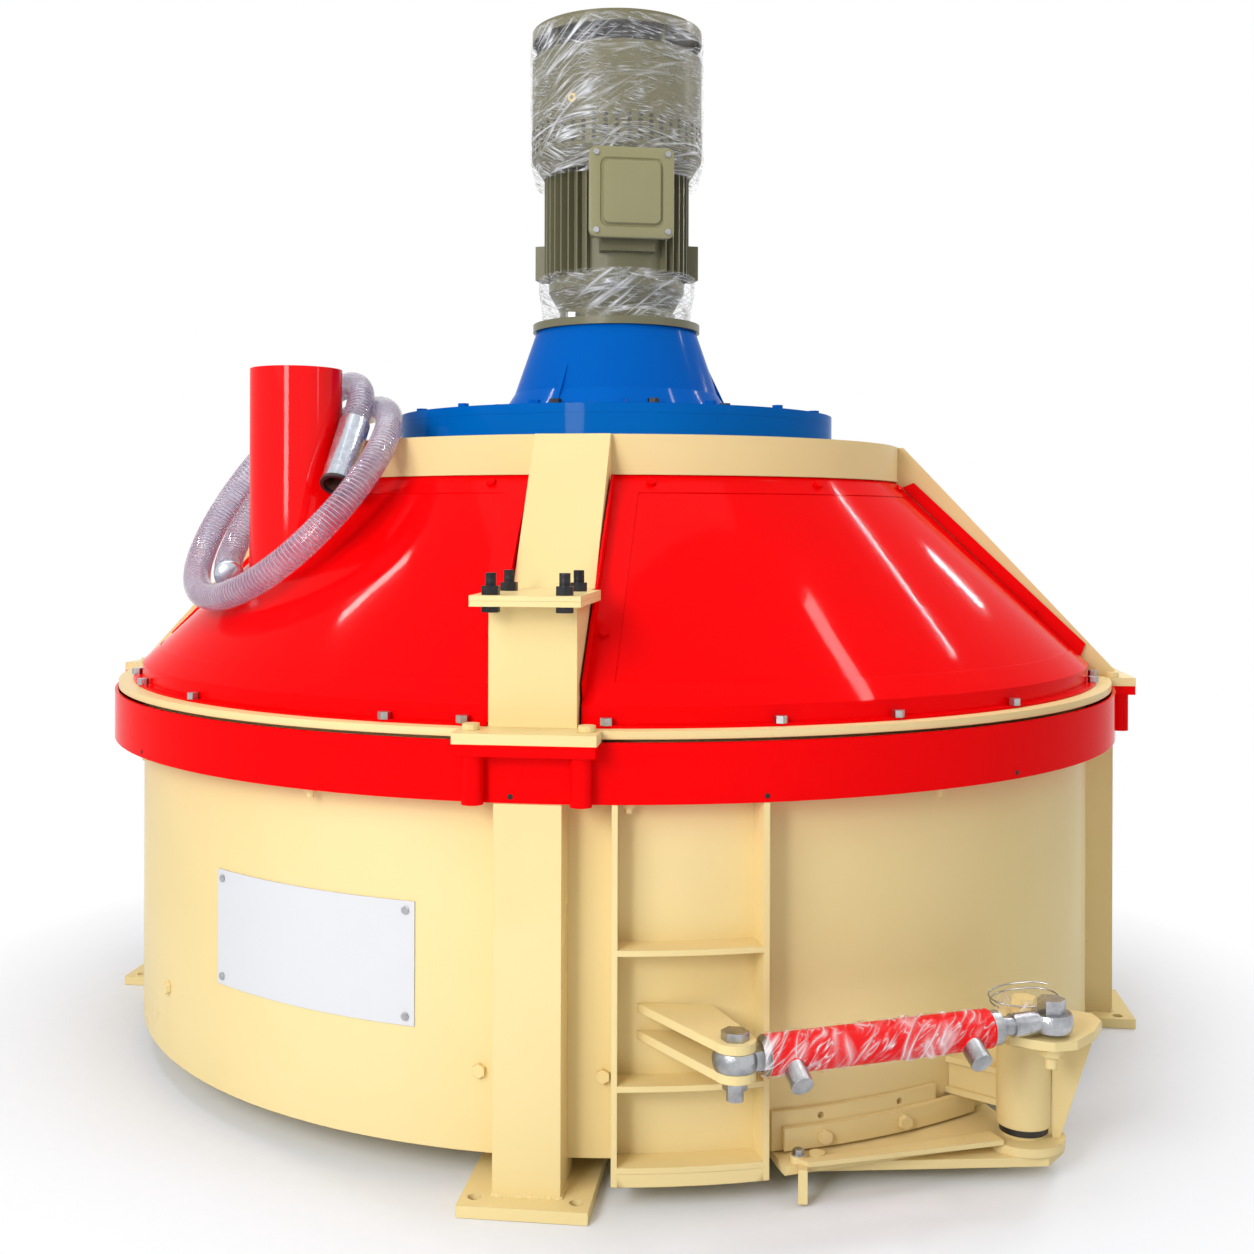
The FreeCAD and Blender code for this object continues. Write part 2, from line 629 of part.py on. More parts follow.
disc = cylinder(S.disc_radius, S.disc_plate, z=S.ring_top)
node("gear_plate", cut("disc_bored", disc,
                       cylinder(S.bearing_radius + 0.1, S.disc_plate + 4, z=S.ring_top - 2)))
lid = cylinder(S.disc_radius, S.lid_plate, z=disc_top)
lid = cut("lid_bored", lid, cylinder(S.shaft_radius + 5, S.lid_plate + 4, z=disc_top - 2))
node("gear_cover_plate", lid)
node("main_bearing", revolved("bearing", [
    (S.shaft_radius + S.shaft_play, S.ring_top), (S.bearing_radius, S.ring_top),
    (S.bearing_radius, disc_top), (S.shaft_radius + S.shaft_play, disc_top)]))

cone_shell = revolved("cone", [
    (S.cone_base_radius - S.cone_wall, lid_top), (S.cone_flange_radius, lid_top),
    (S.cone_flange_radius, lid_top + S.cone_flange), (S.cone_base_radius, lid_top + S.cone_flange),
    (S.cone_base_radius - 22, lid_top + S.cone_flange + 34), (S.cone_top_radius, cone_top),
    (S.motor_shaft_radius + 60, cone_top), (S.motor_shaft_radius + 60, cone_top - S.cone_wall),
    (S.cone_top_radius - S.cone_wall, cone_top - S.cone_wall),
    (S.cone_base_radius - S.cone_wall - 14, lid_top + S.cone_flange)])
cone_parts = [cone_shell]
for index in range(int(float(S.cone_ribs))):
    cone_parts.append(web("cone_rib", [
        (S.cone_top_radius - 8, cone_top - 34), (S.cone_top_radius + 6, cone_top - 34),
        (S.cone_base_radius + 1, lid_top + S.cone_flange),
        (S.cone_top_radius - 8, lid_top + S.cone_flange + 20)],
        12, turn=index * 360 / float(S.cone_ribs) - 114))
cone_inside = revolved("cone_inside", [
    (0, lid_top - 1), (S.cone_base_radius - S.cone_wall, lid_top - 1),
    (S.cone_base_radius - S.cone_wall - 14, lid_top + S.cone_flange),
    (S.cone_top_radius - S.cone_wall, cone_top - S.cone_wall), (0, cone_top - S.cone_wall)])
node("gear_cone", cut("cone_clear", join("cone_weld", cone_parts), cone_inside))

reducer = cylinder(S.bearing_radius + 8, S.cone_height - S.cone_wall - 30, z=lid_top)
node("reducer_core", cut("reducer_bored", reducer,
                         cylinder(S.shaft_radius + S.shaft_play, 62, z=lid_top - 2)))

for index in range(int(float(S.cone_bolt_count))):
    black_bolts.append(turned_to(bolt_shape(20, 9, 6, 0), index * 360 / float(S.cone_bolt_count) + 24,
                                float(S.cone_bolt_circle) / 2 + 6, float(lid_top + S.cone_flange) + 0.1))
node("black_bolts", shaped("black_bolt_set", Part.makeCompound(black_bolts)))
disc_bolts = []
for index in range(int(float(S.disc_bolt_count))):
    disc_bolts.append(turned_to(bolt_shape(19, 8, 6, 0), index * 360 / float(S.disc_bolt_count) + 9,
                                float(S.disc_bolt_circle) / 2 - 6, float(lid_top) + 0.1))
node("disc_bolts", shaped("disc_bolt_set", Part.makeCompound(disc_bolts)))


def toothed(teeth, outward, phase):
    """A gear outline of straight-flanked teeth with backlash, about Z."""
    pitch_radius = float(S.gear_module) * teeth / 2
    step = 2 * math.pi / teeth
    tip = pitch_radius + outward * 0.8 * float(S.gear_module)
    root = pitch_radius - outward * 1.15 * float(S.gear_module)
    points = []
    for index in range(teeth):
        middle = index * step + phase
        for radius, share in ((root, -0.31), (tip, -0.14), (tip, 0.14), (root, 0.31)):
            points.append(VECTOR(radius * math.cos(middle + share * step),
                                 radius * math.sin(middle + share * step), 0))
    points.append(points[0])
    return Part.Face(Part.makePolygon(points))


ring_teeth = int(float(S.ring_teeth))
planet_teeth = int(float(S.planet_teeth))
star_offset = (ring_teeth - planet_teeth) * float(S.gear_module) / 2
ring_blank = Part.makeCylinder(float(S.ring_gear_outer), float(S.gear_face))
ring_hole = toothed(ring_teeth, -1, math.pi / ring_teeth).extrude(VECTOR(0, 0, float(S.gear_face)))
ring_gear = ring_blank.cut(ring_hole)
ring_gear.translate(VECTOR(0, 0, float(S.gear_base)))
node("ring_gear", shaped("ring_gear_solid", ring_gear))

planet = toothed(planet_teeth, 1, 0).extrude(VECTOR(0, 0, float(S.gear_face)))
planet = planet.cut(Part.makeCylinder(float(S.star_shaft_radius) + 0.05, float(S.gear_face)))
planet.translate(VECTOR(star_offset, 0, float(S.gear_base)))
node("planet_gear", shaped("planet_gear_solid", planet))

node("gear_case", revolved("case", [
    (S.ring_gear_outer + S.fit_gap, S.case_base), (S.case_outer, S.case_base), (S.case_outer, S.ring_top),
    (S.case_outer - 26, S.ring_top), (S.case_outer - 26, S.ring_top - 12),
    (S.ring_gear_outer + S.fit_gap, S.ring_top - 12)]))

# Rotor: the main shaft, the drum that carries the star, and the scraper arms.

node("main_shaft", cylinder(S.shaft_radius, lid_top + 58 - (S.drum_base + S.drum_wall),
                            z=S.drum_base + S.drum_wall))
drum_shell = revolved("drum", [
    (S.shaft_radius, S.drum_top), (S.drum_radius, S.drum_top), (S.drum_radius, S.drum_base + 30),
    (S.drum_radius - 30, S.drum_base), (0, S.drum_base), (0, S.drum_base + S.drum_wall),
    (S.drum_radius - 36, S.drum_base + S.drum_wall), (S.drum_radius - S.drum_wall, S.drum_base + 34),
    (S.drum_radius - S.drum_wall, S.drum_top - 24), (S.shaft_radius, S.drum_top - 24)])
star_room = cylinder(S.star_shaft_radius + S.shaft_play, 400, star_offset, 0, S.drum_base - 40)
node("rotor_drum", cut("drum_bored", drum_shell, star_room))

arm_room = cylinder(S.drum_radius + 0.1, 400, z=S.drum_base - 100)
wall_leg = S.pan_radius - 86
wall_arm = web("wall_scraper_arm", [
    (S.drum_radius - 20, 930), (S.drum_radius - 20, 870), (wall_leg, 590), (wall_leg, 330),
    (wall_leg + 40, 330),
    (wall_leg + 40, 620)], 40, turn=168)
floor_leg = wall_leg - 240
floor_arm = web("floor_scraper_arm", [
    (S.drum_radius - 20, 925), (S.drum_radius - 20, 872), (floor_leg, 760), (floor_leg, 200),
    (floor_leg + 40, 200), (floor_leg + 40, 792)], 40, turn=208)
node("scraper_arms", group("scraper_arm_set", [
    cut("wall_arm_trim", wall_arm, arm_room), cut("floor_arm_trim", floor_arm, arm_room)]))
blade_base = floor_top + S.liner_plate + 3
wall_blade = web("wall_blade", [
    (wall_leg, blade_base), (pan_inner - S.liner_plate - 5, blade_base),
    (pan_inner - S.liner_plate - 5, 420),
    (wall_leg + 40.2, 420), (wall_leg + 40.2, 329.8), (wall_leg, 329.8)], 12, turn=168)
floor_blade = web("floor_blade", [
    (floor_leg - 230, blade_base), (floor_leg + 190, blade_base), (floor_leg + 190, 150),
    (floor_leg + 40, 199.8), (floor_leg, 199.8), (floor_leg - 230, 150)], 12, turn=208)
node("scraper_blades", group("scraper_blade_set", [wall_blade, floor_blade]))

# Star: its shaft, the three armed hub, and a paddle on each arm.

hub_base = S.star_arm_level - S.hub_height / 2
node("star_shaft", cylinder(S.star_shaft_radius, S.gear_base + S.gear_face + 12 - hub_base, star_offset,
                            0, hub_base))
hub = cut("hub_bored", cylinder(S.hub_radius, S.hub_height, star_offset, 0, hub_base),
          cylinder(S.star_shaft_radius + 0.05, S.hub_height + 4, star_offset, 0, hub_base - 2))
star_parts = [hub]
paddles = []
paddle_top = blade_base + S.paddle_gap + S.paddle_height
for index in range(int(float(S.star_arms))):
    turn = index * 360 / float(S.star_arms) + 20
    star_parts.append(web("star_arm", [
        (S.hub_radius - 12, S.star_arm_level - S.star_arm_half),
        (S.star_reach - 44, S.star_arm_level - S.star_arm_half),
        (S.star_reach - 22, paddle_top), (S.star_reach + 22, paddle_top),
        (S.star_reach + 22, S.star_arm_level), (S.star_reach, S.star_arm_level + S.star_arm_half),
        (S.hub_radius - 12, S.star_arm_level + S.star_arm_half)], S.star_arm_half * 2, turn=turn,
        x=star_offset))
    angle = math.radians(turn)
    paddle = box(S.paddle_width, S.paddle_plate, S.paddle_height,
                 star_offset + S.star_reach * math.cos(angle) - S.paddle_width / 2 * math.cos(angle + 0.8)
                 + S.paddle_plate / 2 * math.sin(angle + 0.8),
                 S.star_reach * math.sin(angle) - S.paddle_width / 2 * math.sin(angle + 0.8)
                 - S.paddle_plate / 2 * math.cos(angle + 0.8),
                 paddle_top - S.paddle_height, turn + math.degrees(0.8))
    paddles.append(paddle)
node("star_arms", join("star_arm_weld", star_parts))
node("star_paddles", group("star_paddle_set", paddles))

# Motor: flange end shield, finned body, terminal box, fan cowl and rain canopy.

flange_top = cone_top + S.motor_flange
body_base = flange_top + S.shield_height
body_top = body_base + S.body_height
vent_top = body_top + S.cowl_neck + S.vent_height
drum_top = vent_top + S.drum_height
canopy_base = drum_top + S.canopy_gap

node("motor_flange", revolved("end_shield", [
    (S.motor_shaft_radius + S.shaft_play, cone_top), (S.motor_flange_radius, cone_top),
    (S.motor_flange_radius, flange_top),
    (S.shield_radius - 18, flange_top), (S.shield_radius - 24, flange_top + 26),
    (S.shield_radius, body_base - 20),
    (S.shield_radius, body_base), (S.motor_shaft_radius + S.shaft_play, body_base)]))

body_parts = [cylinder(S.body_radius, S.body_height, z=body_base)]
fin_count = int(float(S.fin_count))
for index in range(fin_count):
    fin_turn = index * 360 / fin_count + float(S.motor_turn)
    facing = (index * 360 / fin_count + 360) % 360
    if min(abs(facing - 270), 360) < 32:
        continue
    body_parts.append(web("fin", [
        (S.body_radius - 4, body_base + 8), (S.fin_reach, body_base + 8), (S.fin_reach, body_top),
        (S.body_radius - 4, body_top)], S.fin_plate, turn=fin_turn))
box_seat = web("box_seat", [
    (S.body_radius - 10, body_base + 44), (S.fin_reach + 4, body_base + 44),
    (S.fin_reach + 4, body_top - 4),
    (S.body_radius - 10, body_top - 4)], S.box_width - 60, turn=S.motor_turn - 90)
body_parts.append(box_seat)
for lug_turn in (14, 166):
    body_parts.append(web("lug", [
        (S.body_radius - 8, body_base + 12), (S.fin_reach + 20, body_base + 12),
        (S.fin_reach + 20, body_base + 84),
        (S.body_radius - 8, body_base + 84)], 46, turn=S.motor_turn + lug_turn - 10))
body_solid = join("body_weld", body_parts)
node("motor_body", cut("body_bored", body_solid, cylinder(96, S.body_height - 16, z=body_base + 8),
                       cylinder(S.motor_shaft_radius + 9, S.body_height + 4, z=body_base - 2)))

seat = S.fin_reach + 4
box_base = body_base + 62
box_solid = web("box_body", [
    (seat + 0.1, box_base + 6), (S.box_front - S.box_lid, box_base + 6),
    (S.box_front - S.box_lid, box_base + S.box_height - 6),
    (seat + 11, box_base + S.box_height - 6), (seat + 0.1, body_top + 1)],
    S.box_width - 14, turn=S.motor_turn - 90)
node("terminal_box", box_solid)
lid_outer = web("box_lid", [
    (S.box_front - S.box_lid + 0.1, box_base), (S.box_front - 6, box_base),
    (S.box_front - 6, box_base + S.box_height),
    (S.box_front - S.box_lid + 0.1, box_base + S.box_height)], S.box_width, turn=S.motor_turn - 90)
lid_field = web("box_lid_field", [
    (S.box_front - 7, box_base + 26), (S.box_front, box_base + 30),
    (S.box_front, box_base + S.box_height - 30),
    (S.box_front - 7, box_base + S.box_height - 26)], S.box_width - 56, turn=S.motor_turn - 90)
node("terminal_lid", join("box_lid_weld", [lid_outer, lid_field]))

node("fan_cowl", revolved("cowl", [
    (S.fin_reach + 1, body_top), (S.cowl_radius, body_top + S.cowl_neck), (S.cowl_radius, drum_top),
    (S.fan_radius - 30, drum_top), (S.fan_radius - 30, drum_top - S.cowl_wall),
    (S.cowl_radius - S.cowl_wall, drum_top - S.cowl_wall),
    (S.cowl_radius - S.cowl_wall, body_top + S.cowl_neck),
    (S.fin_reach - 2, body_top + 0.1)]))
canopy_parts = [revolved("canopy", [
    (0, canopy_base + S.canopy_rim - 2), (S.cowl_radius - S.cowl_wall,
                                          canopy_base + S.canopy_rim - 3 - S.canopy_dome / 2),
    (S.cowl_radius - S.cowl_wall, canopy_base), (S.cowl_radius, canopy_base),
    (S.cowl_radius, canopy_base + S.canopy_rim - S.canopy_dome / 2),
    (S.cowl_radius / 2, canopy_base + S.canopy_rim + S.canopy_dome / 2),
    (0, canopy_base + S.canopy_rim + S.canopy_dome)])]
for index in range(4):
    angle = math.radians(45 + 90 * index)
    canopy_parts.append(cylinder(6, S.canopy_gap + S.canopy_rim - 7,
                                 (S.cowl_radius - 24) * math.cos(angle),
                                 (S.cowl_radius - 24) * math.sin(angle), drum_top + 0.1))
node("motor_canopy", join("canopy_weld", canopy_parts))

motor_bolts = []
for index in range(4):
    motor_bolts.append(turned_to(bolt_shape(24, 12, 8, 0), 45 + 90 * index + float(S.motor_turn), 150,
                                 float(flange_top) + 0.1))
for side in (-1, 1):
    for level in (float(box_base) + 13, float(box_base + S.box_height) - 13):
        screw = round_bar(6, 4)
        screw.rotate(VECTOR(0, 0, 0), VECTOR(0, 1, 0), 90)
        screw.translate(VECTOR(float(S.box_front) - 5.9, side * (float(S.box_width) / 2 - 13), level))
        screw.rotate(VECTOR(0, 0, 0), VECTOR(0, 0, 1), float(S.motor_turn) - 90)
        motor_bolts.append(screw)
node("motor_bolts", shaped("motor_bolt_set", Part.makeCompound(motor_bolts)))

motor_core = cylinder(88, S.body_height - 40, z=body_base + 20)
motor_spindle = cylinder(S.motor_shaft_radius, vent_top + 40 - (cone_top - S.cone_wall),
                         z=cone_top - S.cone_wall)
node("motor_rotor", join("motor_rotor_weld", [motor_core, motor_spindle]))
fan_base = body_top + S.cowl_neck + 20
fan_parts = [cylinder(60, 46, z=fan_base), cylinder(S.fan_radius - 6, 5, z=fan_base)]
for index in range(8):
    fan_parts.append(web("fan_blade", [(50, fan_base + 1), (S.fan_radius - 6, fan_base + 1),
                                       (S.fan_radius - 6, fan_base + 40),
                                       (50, fan_base + 46)], 5, turn=index * 45))
node("cooling_fan", cut("fan_bored", join("fan_weld", fan_parts),
                        cylinder(S.motor_shaft_radius + 0.05, 60, z=fan_base - 4)))

# Outlet side: rib frame, cylinder clevis, seal strips and hinge tube.

frame_sweep = S.frame_to - S.frame_from


def frame_post(degrees):
    """An upright bar of the rib frame."""
    return web("frame_post", [
        (S.pan_radius - 0.1, S.pan_base + 0.1), (frame_front, S.frame_base),
        (frame_front, S.band_base - 0.3),
        (S.pan_radius - 0.1, S.band_base - 0.3)], S.frame_bar, turn=degrees - 90)


def frame_rib(z, height):
    return ring_sector("frame_rib", frame_front, S.pan_radius + 0.1, height, z, S.frame_from - 90,
                       frame_sweep)


skirt = ring_sector("frame_skirt", frame_front, S.pan_radius - 30, S.pan_base - S.frame_base - 0.3,
                    S.frame_base,
                    S.frame_from - 90, frame_sweep)
frame_solid = join("rib_frame_weld", [
    frame_post(S.frame_from), frame_post(S.frame_to), frame_rib(S.pan_base, S.frame_bar),
    frame_rib(170, S.frame_bar),
    frame_rib(365, S.frame_bar), ring_sector("frame_back", S.pan_radius + 5, S.pan_radius + 0.1, 528,
                                             S.pan_base, S.frame_from - 90, frame_sweep), skirt])
node("rib_frame", cut("rib_frame_trim", frame_solid,
                      cylinder(S.pan_radius + 0.1, 600, z=S.pan_base - 0.1)))

pin_gap = S.eye_half + 0.5


def clevis_ear(z):
    """A tapered ear from the rib frame out to the rear pin."""
    ear = plate("clevis_ear", [
        (150, -S.pan_radius + 10), (262, -S.pan_radius + 14),
        (S.rear_pin_x + S.eye_radius - 2, S.rear_pin_y + 14),
        (S.rear_pin_x + S.eye_radius - 6, S.rear_pin_y - 18),
        (S.rear_pin_x + 4, S.rear_pin_y - S.eye_radius),
        (S.rear_pin_x - 20, S.rear_pin_y - 20)], S.ear_plate, z=z)
    eye = cylinder(S.eye_radius, S.ear_plate, S.rear_pin_x, S.rear_pin_y, z)
    return join("ear_weld", [ear, eye])


ears = []
for z in (S.cylinder_level + pin_gap, S.cylinder_level - pin_gap - S.ear_plate):
    ears.append(cut("ear_bored", clevis_ear(z), cylinder(S.pan_radius + 5.1, 60, z=z - 20),
                    cylinder(S.pin_radius, 40, S.rear_pin_x, S.rear_pin_y, z - 10)))
node("cylinder_clevis", group("clevis_set", ears))

hinge_tube = cut("hinge_tube_bored", cylinder(S.hinge_radius, S.hinge_high - S.hinge_low, S.hinge_x,
                                              S.hinge_y, S.hinge_low),
                 cylinder(S.hinge_bore + S.shaft_play, 200, S.hinge_x, S.hinge_y, S.hinge_low - 20))
toward = math.degrees(math.atan2(-float(S.hinge_y), -float(S.hinge_x)))


def hinge_bracket():
    """Two level plates and two webs between the pan wall and the hinge tube."""
    reach = 150
    pieces = []
    for z in (92, 140):
        pieces.append(plate("hinge_plate", [(20, -28), (reach, -62), (reach, 62), (20, 28)], 10,
                            x=S.hinge_x, y=S.hinge_y, z=z, turn=toward))
    for side in (-1, 1):
        pieces.append(plate("hinge_web", [(26, side * 26), (reach, side * 52), (reach, side * 52 - 9),
                                          (26, side * 26 - 9)],
                            40, x=S.hinge_x, y=S.hinge_y, z=101, turn=toward))
    return cut("hinge_bracket_trim", join("hinge_bracket_weld", pieces),
               cylinder(S.pan_radius + 0.1, 400, z=S.pan_base),
               cylinder(S.hinge_radius - 2, 400, S.hinge_x, S.hinge_y, S.pan_base))


node("hinge_tube", join("hinge_tube_weld", [hinge_tube, hinge_bracket()]))

seal_strip = ring_sector("seal_strip", S.pan_radius + 8, S.pan_radius + 0.1, S.seal_height,
                         S.pan_base + 2,
                         strip_from - 90, S.seal_sweep)
clamp_strip = ring_sector("clamp_strip", S.pan_radius + 18, S.pan_radius + 8.1, S.clamp_height,
                          S.pan_base + 4, strip_from + 1 - 90, S.clamp_sweep)
slots = []
for degrees in strip_bolts:
    slot = Part.makeCylinder(float(S.slot_radius), 30, VECTOR(0, 0, 0), VECTOR(1, 0, 0))
    slots.append(shaped("slot", turned_to(slot, degrees, S.pan_radius, S.pan_base + S.seal_height - 11)))
node("seal_strips", group("strip_set", [cut("seal_strip_slots", seal_strip, *slots), clamp_strip]))

# Door: a sector plate under the floor, on a shaft that the hinge tube carries, with a lever on top.

door_base = S.door_top - S.door_plate
sector = cylinder(S.door_reach, S.door_plate, S.hinge_x, S.hinge_y, door_base, S.door_from,
                  S.door_to - S.door_from)
hub_plate = cylinder(62, S.door_plate, S.hinge_x, S.hinge_y, door_base)
arm_plate = plate("door_arm", [
    (0, -58), (30, -52), (60, 0), (34, 50), (-40, 60), (-330, 120), (-350, 70), (-340, -120)],
    S.door_arm_plate,
    x=S.hinge_x, y=S.hinge_y, z=door_base - S.door_arm_plate)
collar = cylinder(34, S.hinge_low - 1 - S.door_top, S.hinge_x, S.hinge_y, S.door_top)
stiffener = plate("door_stiffener", [(-36, -52), (-328, -170), (-345, -160), (-52, -20)],
                  S.stiffener_plate,
                  x=S.hinge_x, y=S.hinge_y, z=S.door_top)
lug_turn = math.radians(float(S.door_to) - 1.5)
lug_parts = []
for reach in (344, 374):
    lug_parts.append(cylinder(S.door_lug_radius, S.stiffener_plate + 2,
                              S.hinge_x + reach * math.cos(lug_turn),
                              S.hinge_y + reach * math.sin(lug_turn), S.door_top))
stop_turn = float(S.door_to) + 1.6
stop_block = box(14, 20, 50, S.hinge_x + 384 * math.cos(math.radians(stop_turn)),
                 S.hinge_y + 384 * math.sin(math.radians(stop_turn)) - 10, 4)
node("door_plate", join("door_plate_weld",
                        [sector, hub_plate, arm_plate, stiffener, stop_block] + lug_parts))
pin_x = S.lever_pin_x - S.hinge_x
pin_y = S.lever_pin_y - S.hinge_y
lever_flat = plate("lever", [
    (-34, 20), (-46, -30), (pin_x - 62, pin_y - 10), (pin_x - 30, pin_y - 26), (pin_x, pin_y - 34),
    (pin_x + 34, pin_y - 20), (pin_x + 66, pin_y + 24), (112, -20), (104, 14), (40, 40), (0, 44)],
    S.lever_plate,
    x=S.hinge_x, y=S.hinge_y, z=S.lever_base)
lever_web = web("lever_web", [
    (42, S.door_top), (54, S.door_top), (106, S.lever_base + 2), (42, S.lever_base + 2)], 12,
    x=S.hinge_x, y=S.hinge_y, turn=-10)
lever_nut = hexagon(30, 16, S.lever_pin_x, S.lever_pin_y, S.lever_base - 16)
lever_tail = cylinder(9, 34, S.lever_pin_x, S.lever_pin_y, S.lever_base - 34)
lever_shaft = cylinder(S.hinge_bore, S.lever_base - S.door_top, S.hinge_x, S.hinge_y, S.door_top)
lever_top = S.lever_base + S.lever_plate
lever_washer = cylinder(40, 3, S.hinge_x, S.hinge_y, lever_top)
lever_bolt = hexagon(34, 26, S.hinge_x, S.hinge_y, lever_top, 10)
node("door_lever", join("door_lever_weld", [
    lever_flat, lever_web, lever_nut, lever_tail, lever_shaft, collar, lever_washer, lever_bolt]))

# Hydraulic cylinder between the rear pin and the lever pin.

stroke_x = float(S.lever_pin_x - S.rear_pin_x)
stroke_y = float(S.lever_pin_y - S.rear_pin_y)
cylinder_length = math.hypot(stroke_x, stroke_y)
cylinder_turn = math.degrees(math.atan2(stroke_y, stroke_x))


def along_cylinder(radius, start, length):
    """A round bar on the cylinder's own axis, from a distance beyond the rear pin."""
    bar = Part.makeCylinder(float(as_size(radius)), float(as_size(length)),
                            VECTOR(float(as_size(start)), 0, 0), VECTOR(1, 0, 0))
    return bar


def set_on_line(shape):
    copy = shape.copy()
    copy.rotate(VECTOR(0, 0, 0), VECTOR(0, 0, 1), cylinder_turn)
    copy.translate(VECTOR(float(S.rear_pin_x), float(S.rear_pin_y), float(S.cylinder_level)))
    return copy


def eye_shape(position, bore):
    """A forged eye: a slice of a ball, bored for its pin."""
    half = float(S.eye_half)
    ball = Part.makeSphere(math.hypot(float(S.eye_radius), half), VECTOR(position, 0, 0))
    slice_shape = Part.makeCylinder(2 * float(S.eye_radius), 2 * half, VECTOR(position, 0, -half))
    return ball.common(slice_shape).cut(Part.makeCylinder(bore, 2 * half, VECTOR(position, 0, -half)))


barrel_end = float(S.barrel_end)
rod_bore = float(S.rod_radius) + 0.05
barrel = along_cylinder(S.barrel_radius, S.barrel_start, S.barrel_end - S.barrel_start)
barrel = barrel.cut(along_cylinder(S.barrel_radius - 6, 60, barrel_end - 70))
barrel = barrel.cut(along_cylinder(rod_bore, barrel_end - 14, 40))
neck_start = float(S.eye_radius) - 8
neck = Part.makeBox(float(S.barrel_start) - neck_start + 4, 40, 2 * float(S.eye_half),
                    VECTOR(neck_start, -20, -float(S.eye_half)))
rear_eye = eye_shape(0, float(S.pin_radius) + 0.05)
neck = neck.cut(Part.makeCylinder(float(S.eye_radius) - 1, 80, VECTOR(0, 0, -40)))
gland = along_cylinder(S.barrel_radius - 3, barrel_end,
                       16).cut(along_cylinder(rod_bore, barrel_end - 2, 30))
ports = []
for position in (float(S.barrel_start) + 34, barrel_end - 40):
    stub = Part.makeCylinder(16, float(S.barrel_radius) + 30, VECTOR(position, 0, 0),
                             VECTOR(0, -0.86, -0.5))
    stub = stub.cut(along_cylinder(float(S.barrel_radius) - 1, 50, barrel_end))
    ports.append(stub)
barrel_weld = barrel.fuse([neck, rear_eye, gland] + ports).removeSplitter()
node("cylinder_barrel", shaped("barrel_solid", set_on_line(barrel_weld)))

rear_head = hexagon(34, 12, S.rear_pin_x, S.rear_pin_y, S.cylinder_level + pin_gap + S.ear_plate + 0.1)
rear_shank = cylinder(S.pin_radius, 2 * (pin_gap + S.ear_plate) + 30, S.rear_pin_x, S.rear_pin_y,
                      S.cylinder_level - pin_gap - S.ear_plate - 29.9)
rear_nut = hexagon(30, 15, S.rear_pin_x, S.rear_pin_y, S.cylinder_level - pin_gap - S.ear_plate - 15.1)
node("rear_pin", join("rear_pin_weld", [rear_head, rear_shank, rear_nut]))

rod = along_cylinder(S.rod_radius, barrel_end - 150,
                     cylinder_length - barrel_end + 150 - float(S.eye_radius) + 6)
shank = along_cylinder(17, barrel_end + 40, cylinder_length - barrel_end - 40 - float(S.eye_radius) + 6)
piston = along_cylinder(float(S.barrel_radius) - 6.3, barrel_end - 170, 24)
rod_weld = rod.fuse([shank, piston]).cut(
    Part.makeCylinder(float(S.eye_radius) - 1, 80, VECTOR(cylinder_length, 0, -40)))
rod_weld = rod_weld.fuse(eye_shape(cylinder_length, float(S.pin_radius))).removeSplitter()
node("piston_rod", shaped("rod_solid", set_on_line(rod_weld)))
rod_head = hexagon(36, 20, S.lever_pin_x, S.lever_pin_y, S.cylinder_level + S.eye_half + 0.1)
rod_shank = cylinder(S.pin_radius - 0.05, 2 * S.eye_half + 1, S.lever_pin_x, S.lever_pin_y,
                     S.cylinder_level - S.eye_half)
node("rod_pin", join("rod_pin_weld", [rod_head, rod_shank]))

# Nameplate, bare, bent to the wall, with four corner screws.

plate_back = S.pan_radius + 0.1
node("nameplate", ring_sector("nameplate_sheet", plate_back + S.plate_sheet, plate_back, S.plate_height,
                              S.plate_base, S.plate_from - 90, S.plate_to - S.plate_from))
plate_screws = []
for degrees in (float(S.plate_from) + 0.9, float(S.plate_to) - 0.9):
    for level in (float(S.plate_base) + 14, float(S.plate_base + S.plate_height) - 14):
        screw = round_bar(6, 3)
        screw.rotate(VECTOR(0, 0, 0), VECTOR(0, 1, 0), 90)
        plate_screws.append(turned_to(screw, degrees, float(plate_back + S.plate_sheet) + 0.1, level))
node("nameplate_screws", shaped("nameplate_screw_set", Part.makeCompound(plate_screws)))

# Water hose: nearly two turns round the inlet tube, with a sleeve on each end.

HOSE_TOP = [(-424, -465, 1169), (-422, -429.5, 1213.5), (-439, -383, 1242.5), (-475, -333, 1254.5),
            (-528, -288, 1240.5), (-597, -263, 1195)]
HOSE_TAIL = [(-441, -303, 1208), (-524, -252, 1184), (-598, -250, 1126), (-649, -288, 1058),
             (-677, -338, 994), (-681, -384, 944)]


def coil_point(turn):
    """A point on the tilted coil, with its turns counted from the mouth's side of the inlet tube."""
    lean = math.radians(float(S.coil_lean))
    facing = math.radians(float(S.coil_facing))
    uphill = VECTOR(math.cos(lean) * math.cos(facing), math.cos(lean) * math.sin(facing), math.sin(lean))
    level = VECTOR(math.sin(facing), -math.cos(facing), 0)
    normal = VECTOR(math.sin(lean) * math.cos(facing), math.sin(lean) * math.sin(facing), -math.cos(lean))
    angle = math.radians(22.5 - 360 * turn)
    radius = float(S.coil_radius) + float(S.coil_growth) * turn
    centre = VECTOR(float(S.coil_x), float(S.coil_y), float(S.coil_z))
    return (centre + (uphill * math.cos(angle) + level * math.sin(angle)) * radius
            + normal * (turn - 0.75) * float(S.coil_pitch))


